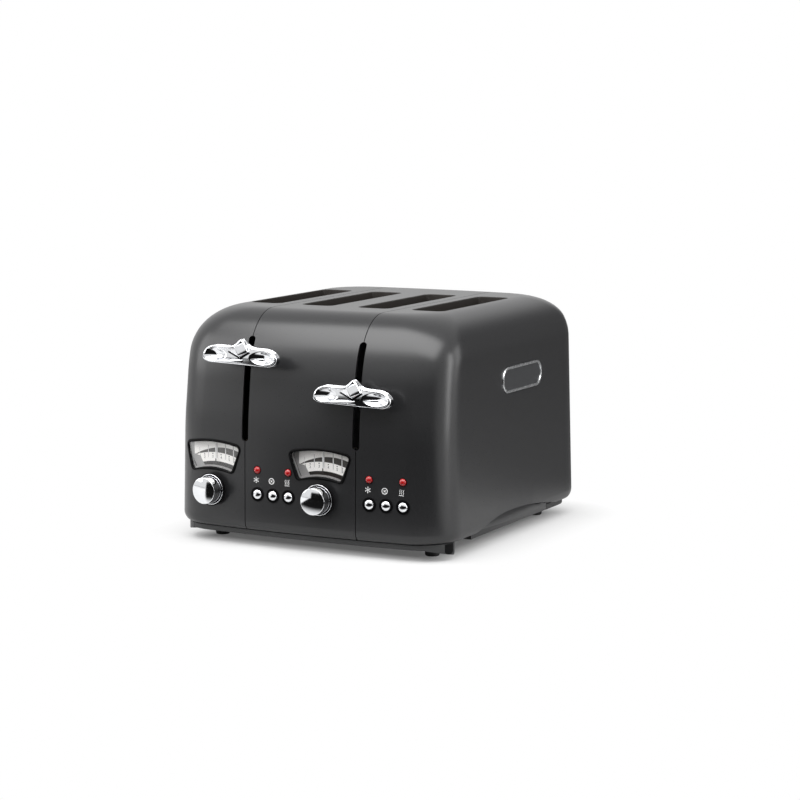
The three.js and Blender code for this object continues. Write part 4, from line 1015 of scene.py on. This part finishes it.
def side_low(x):
    return max(window_low(x), plate_end(x) - 12 - 1.7 * (x + 25))


def lip_top(x):
    return window_low(x) + 1.7


# Each sheet: its name and finish, its ends across, its edges, its depth, thickness and steps.
SHEETS = (
    ("gauge_dial", "dial_white", -27.6, 28.2, window_top, plate_bottom, DIAL_DEEP, 0.3, 80),
    ("scale_band", "dial_grey", -25.6, 27.6, wedge_top, wedge_low, DIAL_DEEP - 0.08, 0.1, 36),
    ("scale_end", "dial_wall", -25.2, -15.8, end_top, window_low, DIAL_DEEP + 0.3, 0.3, 36),
    ("scale_side", "dial_wall", -33.0, -25.0, window_top, side_low, DIAL_DEEP + 0.5, 0.2, 12),
    ("gauge_lip", "dial_lip", -23.0, 19.6, lip_top, window_low, 2.9, 1.6, 36),
)


def upright(x, wide, low, high):
    return [(x - wide / 2, low), (x + wide / 2, low), (x + wide / 2, high), (x - wide / 2, high)]


for side, u in UNIT_X.items():
    flat_piece(f"scale_back_{side}", u, WINDOW, DIAL_DEEP + 1, 0.2, "dial_back")
    for name, material, *sizes in SHEETS:
        node = f"{name}_{side}"
        stands_for = (node,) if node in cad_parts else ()
        finish_piece(node, strip(u, *sizes), material, "frame", stands_for, 30)
    for number, (x, high, low, wide) in enumerate(LINES):
        line = upright(x, wide, low, high)
        flat_piece(f"scale_line_{number}_{side}", u, line, DIAL_DEEP - 0.06, 0.06, "dial_line")
        gap = upright(x, wide, wedge_low(x), wedge_top(x))
        flat_piece(f"scale_gap_{number}_{side}", u, gap, DIAL_DEEP - 0.1, 0.06, "white_print")
    for number, (x, z) in enumerate(NUMERALS, start=1):
        digit(str(number), u, side, (x, z), 3.6)
        dot = circle(x, z + 3.0, 0.6, 16)
        flat_piece(f"scale_dot_{number}_{side}", u, dot, DIAL_DEEP - 0.04, 0.06, "dial_ink")
print("scales made")

# %% Needles
BLADE = [(-0.9, 29.0), (0.0, 29.0), (-0.1, 43), (-0.5, 44), (-0.9, 43)]
ARM = [(-1.1, 0), (0.1, 0), (0.0, 29.0), (-0.9, 29.0)]
HUB = circle(0, 0, 4.6, 32)
for side, u in UNIT_X.items():
    node = f"gauge_needle_{side}"
    bm = solid_from_loops([on_dial(u, BLADE, 5.1), on_dial(u, BLADE, 4.7)])
    finish_piece(node, bm, "white_print", f"needle_{side}", (node,), 30)
    bm = solid_from_loops([on_dial(u, ARM, 5.1), on_dial(u, ARM, 4.7)])
    capped_skin(bm, [add_loop(bm, on_dial(u, HUB, out)) for out in (5.3, 4.6)])
    finish_piece(f"gauge_needle_arm_{side}", bm, "dial_back", f"needle_{side}", (), 30)
print("needles made")

# %% [markdown]
# ## Badge place
# An oblong plate sits in a shallow recess in the right side: a satin rim round a darker, bare face.
# It is swept round its outline like the slot mouths.

# %% Badge plate
badge_profile = [(-0.1, -1.0), (-0.1, 0.7), (-0.35, 1.15), (-0.9, 1.3), (-1.8, 1.25), (-2.6, 1.0)]
badge_profile += [(-2.8, 0.3)]
loops = [[(side_x + out, y, z) for y, z in badge_points(grow)] for grow, out in badge_profile]
swept = solid_from_loops(loops)
plate = finish_piece("badge_plate", swept, "badge_rim", stands_for=("badge_plate",), smooth=40)
plate.data.materials.append(materials["badge_face"])
for face in plate.data.polygons:
    if len(face.vertices) > 20 and face.center.x > side_x * MM:
        face.material_index = 1
print("badge plate made")

# %% [markdown]
# ## Levers
# Each lever is a plated casting: a wide plate whose upper edge swells to a peak, two thumb hollows,
# a folded diamond over the peak and a leaf lying across the lower edge. A sculpted mesh would give the
# same, but formulas keep it exact: the outline comes from one curve with round ends plus a swell, and
# rings of it shrink towards a spine while the hollows press their points back.

# %% Outline of the lever
LEVER_X, LEVER_HALF, LEVER_BACK, LEVER_THICK, LEVER_MID = 2.7, 41.4, -169.3, 8.4, -2.1
TOP_END, LOW_END, PEAK_X, PEAK_UP, PEAK_WIDE, PEAK_POWER = 15.0, 10.5, 1.7, 7.6, 6.0, 1.6
COLUMNS = 100


def on_lever(side, x, z, out):
    """A point in the lever's own millimetres, from its middle, as a point of the shell's."""
    return (UNIT_X[side] + LEVER_X + x, LEVER_BACK - out, LEVEL[side] + z)


def middle(u):
    return LEVER_MID + 0.0135 * u


def lever_edge(u, upper):
    """The height of an edge. The ends are quarter ellipses; the upper edge has a peak."""
    long, high = (TOP_END, 8.9 - 0.034 * u) if upper else (LOW_END, 8.2 + 0.03 * u)
    sign = 1 if upper else -1
    past = max(0, (abs(u) - (LEVER_HALF - long)) / long)
    reach = (high - sign * middle(u)) * math.sqrt(max(0, 1 - past * past))
    swell = PEAK_UP * math.exp(-((abs(u - PEAK_X) / PEAK_WIDE) ** PEAK_POWER))
    return middle(u) + sign * reach + (swell if upper else 0)


us = [-LEVER_HALF * math.cos(math.pi * i / COLUMNS) for i in range(COLUMNS + 1)]
EDGE = [Vector((u, lever_edge(u, False))) for u in us]
EDGE += [Vector((u, lever_edge(u, True))) for u in us[-2:0:-1]]


def edge_points(grow):
    made = []
    for i, point in enumerate(EDGE):
        along = EDGE[(i + 1) % len(EDGE)] - EDGE[i - 1]
        made.append(point + Vector((along.y, -along.x)).normalized() * grow)
    return made


# %% Thumb hollows
BULGE = 1.3
# Each hollow: its centre across and up, half its length and height, and its depth.
HOLLOWS = [(-26.8, 0.3, 12.6, 6.3, 4.0), (26.2, -0.6, 13.6, 6.3, 4.4)]
HALF_HIGH, EDGE_BACK, HOLLOW_POWER, RINGS, SPINE_HALF = 7.5, 0.8, 1.15, 27, 0.78


def pressed(u, w):
    """How far the front is pressed back at a point."""
    deep = BULGE * (((w - middle(u)) / HALF_HIGH) ** 2 - EDGE_BACK)
    for x, z, long, high, depth in HOLLOWS:
        r = ((u - x) / long) ** 2 + ((w - z) / high) ** 2
        deep += depth * max(0, 1 - r) ** HOLLOW_POWER
    return deep


# The plate's side in section, with two grooves round it: how far it grows and how far out it is.
LEVER_SIDE = [(-2.4, 0), (-0.5, 0), (0, 0.5), (0, 2.2), (-0.5, 2.5), (-0.5, 2.9), (0, 3.2), (0, 4.7)]
LEVER_SIDE += [(-0.5, 5.0), (-0.5, 5.4), (0, 5.7), (0, 7.1), (-0.3, 7.9), (-0.9, 8.35)]
LEVER_SIDE += [(-1.7, LEVER_THICK)]


def lever_plate(side):
    bm = bmesh.new()
    loops = []
    for grow, out in LEVER_SIDE:
        loops.append(add_loop(bm, [on_lever(side, *p, out) for p in edge_points(grow)]))
    rim = edge_points(LEVER_SIDE[-1][0])
    for q in range(1, RINGS):
        points = [p.lerp(Vector((p.x * SPINE_HALF, middle(p.x))), q / RINGS) for p in rim]
        loops.append(add_loop(bm, [on_lever(side, *p, LEVER_THICK - pressed(*p)) for p in points]))
    capped_skin(bm, loops)
    bmesh.ops.triangulate(bm, faces=[f for f in bm.faces if len(f.verts) > 4])
    return finish_piece(f"lever_{side}", bm, "chrome", f"lift_{side}", (f"lever_{side}",), 48)


# %% Diamond and the painted shade under it
# The diamond's corners and the ends of its fold: across, up and out.
CORNERS = ((-11.0, 4.9, 9.4), (2.6, -0.8, 10.6), (11.4, 4.9, 10.4), (6.4, 14.0, 9.6))
FOLD = ((-1.9, 9.9, 13.4), (2.3, 1.6, 14.2))
FOOT, DIAMOND_EDGE = 6.0, 0.55


def lever_diamond(side):
    bm = bmesh.new()

    def corner(*point):
        return bm.verts.new(placed(on_lever(side, *point)))

    a, b, c, d = (corner(*point) for point in CORNERS)
    e, f = (corner(*point) for point in FOLD)
    g, h, i, j = (corner(x, z, FOOT) for x, z, _ in CORNERS)
    for around in ((a, e, f), (a, f, b), (b, f, c), (f, e, d), (f, d, c), (a, d, e)):
        bm.faces.new(around)
    for around in ((a, b, h, g), (b, c, i, h), (c, d, j, i), (d, a, g, j), (g, h, i, j)):
        bm.faces.new(around)
    bmesh.ops.recalc_face_normals(bm, faces=bm.faces)
    rounded(bm, DIAMOND_EDGE)
    finish_piece(f"lever_diamond_{side}", bm, "chrome", f"lift_{side}", (), 25)


def lever_groove(side):
    """A black strip under the diamond's two lower edges: painted shade where the diamond stands over
    the plate.
    """
    shade_drop = ((-0.7, -1.0), (0, -1.9), (1.1, -1.0))
    under = [(x + dx, z + dz) for (x, z, _), (dx, dz) in zip(CORNERS, shade_drop)]
    left, right = CORNERS[0], CORNERS[2]
    under += [(right[0] - 2, right[1] + 1), (left[0] + 2, left[1] + 1)]
    # The strip's black finish is painted shade, not a cut in the casting.
    shade_strip = solid_from_loops([[on_lever(side, *p, out) for p in under] for out in (8.0, 9.75)])
    return finish_piece(f"lever_groove_{side}", shade_strip, "bezel_black", f"lift_{side}", (), 30)


# %% Leaf and neck
LEAF_FROM, LEAF_LONG, LEAF_STEPS = -29.5, 49.5, 40
LEAF_LOW, LEAF_ARCH, LEAF_THIN, LEAF_WIDE, LEAF_OUT, LEAF_SWELL = -5.6, 0.9, 0.25, 3.0, 7.2, 4.6
LEAF_THICK, LEAF_HOLLOW, HOLLOW_FROM = 5, 2.4, 0.55


def lever_leaf(side):
    """Round sections along an arched line: pointed at the left, wider and hollowed at the right."""
    loops = []
    for k in range(LEAF_STEPS + 1):
        t = k / LEAF_STEPS
        u = LEAF_FROM + LEAF_LONG * t
        middle = LEAF_LOW + LEAF_ARCH * math.sin(math.pi * t) + 0.5 * t
        broad = math.sin(math.pi * (0.02 + 0.96 * t)) ** 0.55 * (0.55 + 0.45 * t)
        half = LEAF_THIN + LEAF_WIDE * broad
        rise = LEAF_OUT + LEAF_SWELL * math.sin(math.pi * min(1, 0.06 + t * 0.92)) ** 0.7
        hollow = LEAF_HOLLOW * min(1, max(0, (t - HOLLOW_FROM) * 5)) * min(1, (1 - t) * 14)
        ring_points = []
        for across, up in circle(0, 0, 1, 20):
            out = rise - LEAF_THICK * (1 - up) - hollow * max(0, up) ** 3
            ring_points.append(on_lever(side, u, middle + half * across, max(4.5, out)))
        loops.append(ring_points)
    bm = solid_from_loops(loops)
    bmesh.ops.remove_doubles(bm, verts=bm.verts, dist=1e-6)
    return finish_piece(f"lever_leaf_{side}", bm, "chrome", f"lift_{side}", (), 50)


def lever_neck(side):
    u, level, wide, high = UNIT_X[side], LEVEL[side], 4.6, 7
    bm = bmesh.new()
    boxed(bm, (u - wide, LEVER_BACK - 1, level - high), (u + wide, LEVER_BACK + 3.2, level + high))
    rounded(bm, 1)
    finish_piece(f"lever_neck_{side}", bm, "chrome", f"lift_{side}", (), 35)


for side in UNIT_X:
    lever_plate(side)
    lever_diamond(side)
    lever_groove(side)
    lever_leaf(side)
    lever_neck(side)
print("levers made")

# %% [markdown]
# ## What shows through the slots
# The racks, rods, heaters and guards keep the frame's own solids, since each is simple bent wire or
# sheet already. They only get finishes: steel wire, mica sheet and dark plates. The two springs are
# wound anew as round wire; on the toaster each shortens when its carriage goes down and lengthens
# when it goes up.

# %% Lift springs
WIRE, TURNS, TURN_STEPS = 0.6 * MM, 6, 24


def lift_spring(side):
    node = f"lift_spring_{side}"
    low, high = (Vector(corner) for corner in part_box(node))
    middle, radius = (low + high) / 2, (high.x - low.x) / 2 - WIRE
    bottom, top = low.z + WIRE, high.z - WIRE
    rise = (top - bottom) / (TURNS * math.tau)
    bm = bmesh.new()
    loops = []
    for k in range(TURNS * TURN_STEPS + 1):
        angle = math.tau * k / TURN_STEPS
        outward = Vector((math.cos(angle), math.sin(angle), 0))
        along = Vector((-math.sin(angle) * radius, math.cos(angle) * radius, rise)).normalized()
        upward = outward.cross(along)
        centre = Vector((middle.x, middle.y, bottom + rise * angle)) + outward * radius
        section = circle(0, 0, WIRE, 8)
        loops.append([bm.verts.new(centre + outward * a + upward * b) for a, b in section])
    capped_skin(bm, loops)
    spring = finish_piece(node, bm, "wire_steel", None, (node,), 50)
    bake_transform(spring)


for side in UNIT_X:
    lift_spring(side)
print("springs wound")

# %% Finishes for the inside
INSIDE = {
    "carriage_": "brushed_steel",
    "guide_rod_": "wire_steel",
    "chamber_plate_": "dark_steel",
    "heater_": "mica",
    "guard_": "wire_steel",
    "control_board_": "board_green",
    "cord_inlet": "black_plastic",
    "button_collars_": "bezel_black",
}
dressed = 0
for name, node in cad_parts.items():
    for start, finish in INSIDE.items():
        if name.startswith(start):
            for slot in node.material_slots:
                slot.material = materials[finish]
            dressed += 1
print("nodes dressed:", dressed)

# %% [markdown]
# ## Floor, light and camera
# The floor is a plain pale sheet that shows as white further out, so that only the soft shadow near
# the toaster is left of it. Broad soft lamps light the top and the front, as in a studio.

# %% Steps of the studio's shaders
def step(kind, output, source, inputs, **settings):
    """One node that works on a source, in the source's own tree."""
    return add_node(source.id_data, kind, inputs, **settings).outputs[output]


def vector_step(operation, source, other, output="Vector"):
    return step("VectorMath", output, source, {0: source, 1: other}, operation=operation)


def smooth_step(source, start, end, low, high):
    ends = {"Value": source, "From Min": start, "From Max": end, "To Min": low, "To Max": high}
    return step("MapRange", "Result", source, ends, interpolation_type="SMOOTHSTEP")


def product(first, second):
    return step("Math", "Value", first, {0: first, 1: second}, operation="MULTIPLY")


def mixed(factor, first, second):
    inputs = {"Factor": factor, "A": first, "B": second}
    return step("Mix", "Result", factor, inputs, data_type="FLOAT")


def toward(source, azimuth):
    """How closely a direction points to an azimuth, as a cosine."""
    turn = math.radians(azimuth)
    return vector_step("DOT_PRODUCT", source, (math.sin(turn), -math.cos(turn), 0), "Value")


# Two darker fields, as of dark screens in the studio: one ahead and a broader one behind. Each has
# an azimuth and, as cosines, the edges between which it sets in.
AHEAD, AHEAD_EDGE, AHEAD_TONE = 16.0, (0.669, 0.719), 0.05
BEHIND, BEHIND_EDGE, BEHIND_FLOOR, BEHIND_SKY = 156.0, (0.72, 0.93), 0.35, 0.28

# %% Floor
FLOOR_SIZE, FLOOR_TONE, EDGE_IN, WHITE_OUT, AWAY = 3.0, 0.5, 0.03, 0.078, (0.08, 0.2)
sheet = bmesh.new()
bmesh.ops.create_grid(sheet, x_segments=1, y_segments=1, size=FLOOR_SIZE)
floor = object_from(sheet, "floor")
floor_material = bpy.data.materials.new("floor")
floor_material.use_nodes = True
tree = floor_material.node_tree
place = add_node(tree, "TexCoord", {}).outputs["Object"]
from_middle = vector_step("SUBTRACT", place, (0, shift_back, 0))
aside = vector_step("ABSOLUTE", from_middle, (0, 0, 0))
past_edge = vector_step("SUBTRACT", aside, (WIDTH / 2 * MM - EDGE_IN, DEPTH / 2 * MM - EDGE_IN, 0))
outside = vector_step("MAXIMUM", past_edge, (0, 0, 0))
reach = vector_step("LENGTH", outside, (0, 0, 0), "Value")
whiter = {"Value": reach, "From Min": 0.0, "From Max": WHITE_OUT, "To Min": 0.1}
direction = vector_step("NORMALIZE", from_middle, (0, 0, 0))
ahead = smooth_step(toward(direction, AHEAD), *AHEAD_EDGE, 1, AHEAD_TONE)
behind = smooth_step(toward(direction, BEHIND), *BEHIND_EDGE, 1, BEHIND_FLOOR)
shaded = mixed(smooth_step(reach, *AWAY, 0, 1), 1.0, product(ahead, behind))
shader = tree.nodes["Principled BSDF"]
tone = smooth_step(shaded, 0, 1, 0.0, FLOOR_TONE)
feed(shader, {"Roughness": 0.7, "Specular IOR Level": 0.0, "Base Color": tone})
glow = add_node(tree, "Emission", {"Strength": 1.0})
camera_ray = add_node(tree, "LightPath", {}).outputs["Is Camera Ray"]
seen = product(step("MapRange", "Result", reach, whiter), camera_ray)
mix = add_node(tree, "MixShader", {"Fac": seen, 1: shader.outputs["BSDF"], 2: glow.outputs["Emission"]})
feed(tree.nodes["Material Output"], {"Surface": mix.outputs["Shader"]})
floor.data.materials.append(floor_material)
floor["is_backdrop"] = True
print("floor made")

# %% World
FILL, SKY_FROM, SKY_TO = 0.9, 0.13, 0.22
world = bpy.data.worlds.new("studio")
bpy.context.scene.world = world
world.use_nodes = True
tree = world.node_tree
sky = add_node(tree, "TexCoord", {}).outputs["Generated"]
height = add_node(tree, "SeparateXYZ", {"Vector": sky}).outputs["Z"]
ahead = smooth_step(toward(sky, AHEAD), *AHEAD_EDGE, 1, AHEAD_TONE)
behind = smooth_step(toward(sky, BEHIND), *BEHIND_EDGE, 1, BEHIND_SKY)
shaded = mixed(smooth_step(height, SKY_FROM, SKY_TO, 0.0, 1.0), ahead, 1.0)
fill = smooth_step(product(shaded, behind), 0, 1, 0.0, FILL)
camera_ray = add_node(tree, "LightPath", {}).outputs["Is Camera Ray"]
strength = mixed(camera_ray, fill, 1.0)
feed(tree.nodes["Background"], {"Color": (1, 1, 1, 1), "Strength": strength})
print("world set")

# %% Lamps
def lamp(name, place, target, size, power, size_y=None):
    data = bpy.data.lights.new(name, "AREA")
    data.shape = "RECTANGLE"
    data.size, data.size_y = size, size_y or size
    data.energy = power
    made = bpy.data.objects.new(name, data)
    bpy.context.collection.objects.link(made)
    made.location = place
    made.rotation_euler = (Vector(target) - Vector(place)).to_track_quat("-Z", "Y").to_euler()
    return made


lamp("top_light", (0.1, -0.58, 1.2), (0, 0, 0.1), 2.0, 33, 1.0)
lamp("corner_light", (1.4, 0.08, 0.42), (0.1, -0.1, 0.12), 0.25, 4.5, 0.8)
lamp("left_light", (-1.3, -0.9, 0.7), (0, 0, 0.1), 0.9, 8)
lamp("edge_light", (1.3, 0.75, 0.5), (0, 0, 0.12), 0.5, 3, 0.8)
print("lamps set")

# %% Camera
AZIMUTH, ELEVATION, ROLL, DISTANCE, LENS = 28.0, 8.021, -0.182, 2.3465, 104.685
AIM = (21.2, 0, 128.7)
turn, rise = math.radians(AZIMUTH), math.radians(ELEVATION)
back = Vector((math.sin(turn) * math.cos(rise), -math.cos(turn) * math.cos(rise), math.sin(rise)))
camera_data = bpy.data.cameras.new("camera")
camera_data.sensor_width = 36
camera_data.lens = LENS
camera = bpy.data.objects.new("camera", camera_data)
bpy.context.collection.objects.link(camera)
facing = back.to_track_quat("Z", "Y").to_matrix().to_4x4()
camera.matrix_world = Matrix.Translation(placed(AIM) + back * DISTANCE) @ facing
camera.matrix_world = camera.matrix_world @ Matrix.Rotation(math.radians(ROLL), 4, "Z")
scene = bpy.context.scene
scene.camera = camera
scene.render.resolution_x = scene.render.resolution_y = 800
scene.view_settings.view_transform = "Standard"
print("camera at", [round(v, 3) for v in camera.matrix_world.translation])

# %% The sizes of the frame's model and of the dressed one
dressed_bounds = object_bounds()
sizes = {
    "cad": [list(corner) for corner in cad_bounds],
    "visual": [list(corner) for corner in dressed_bounds],
}
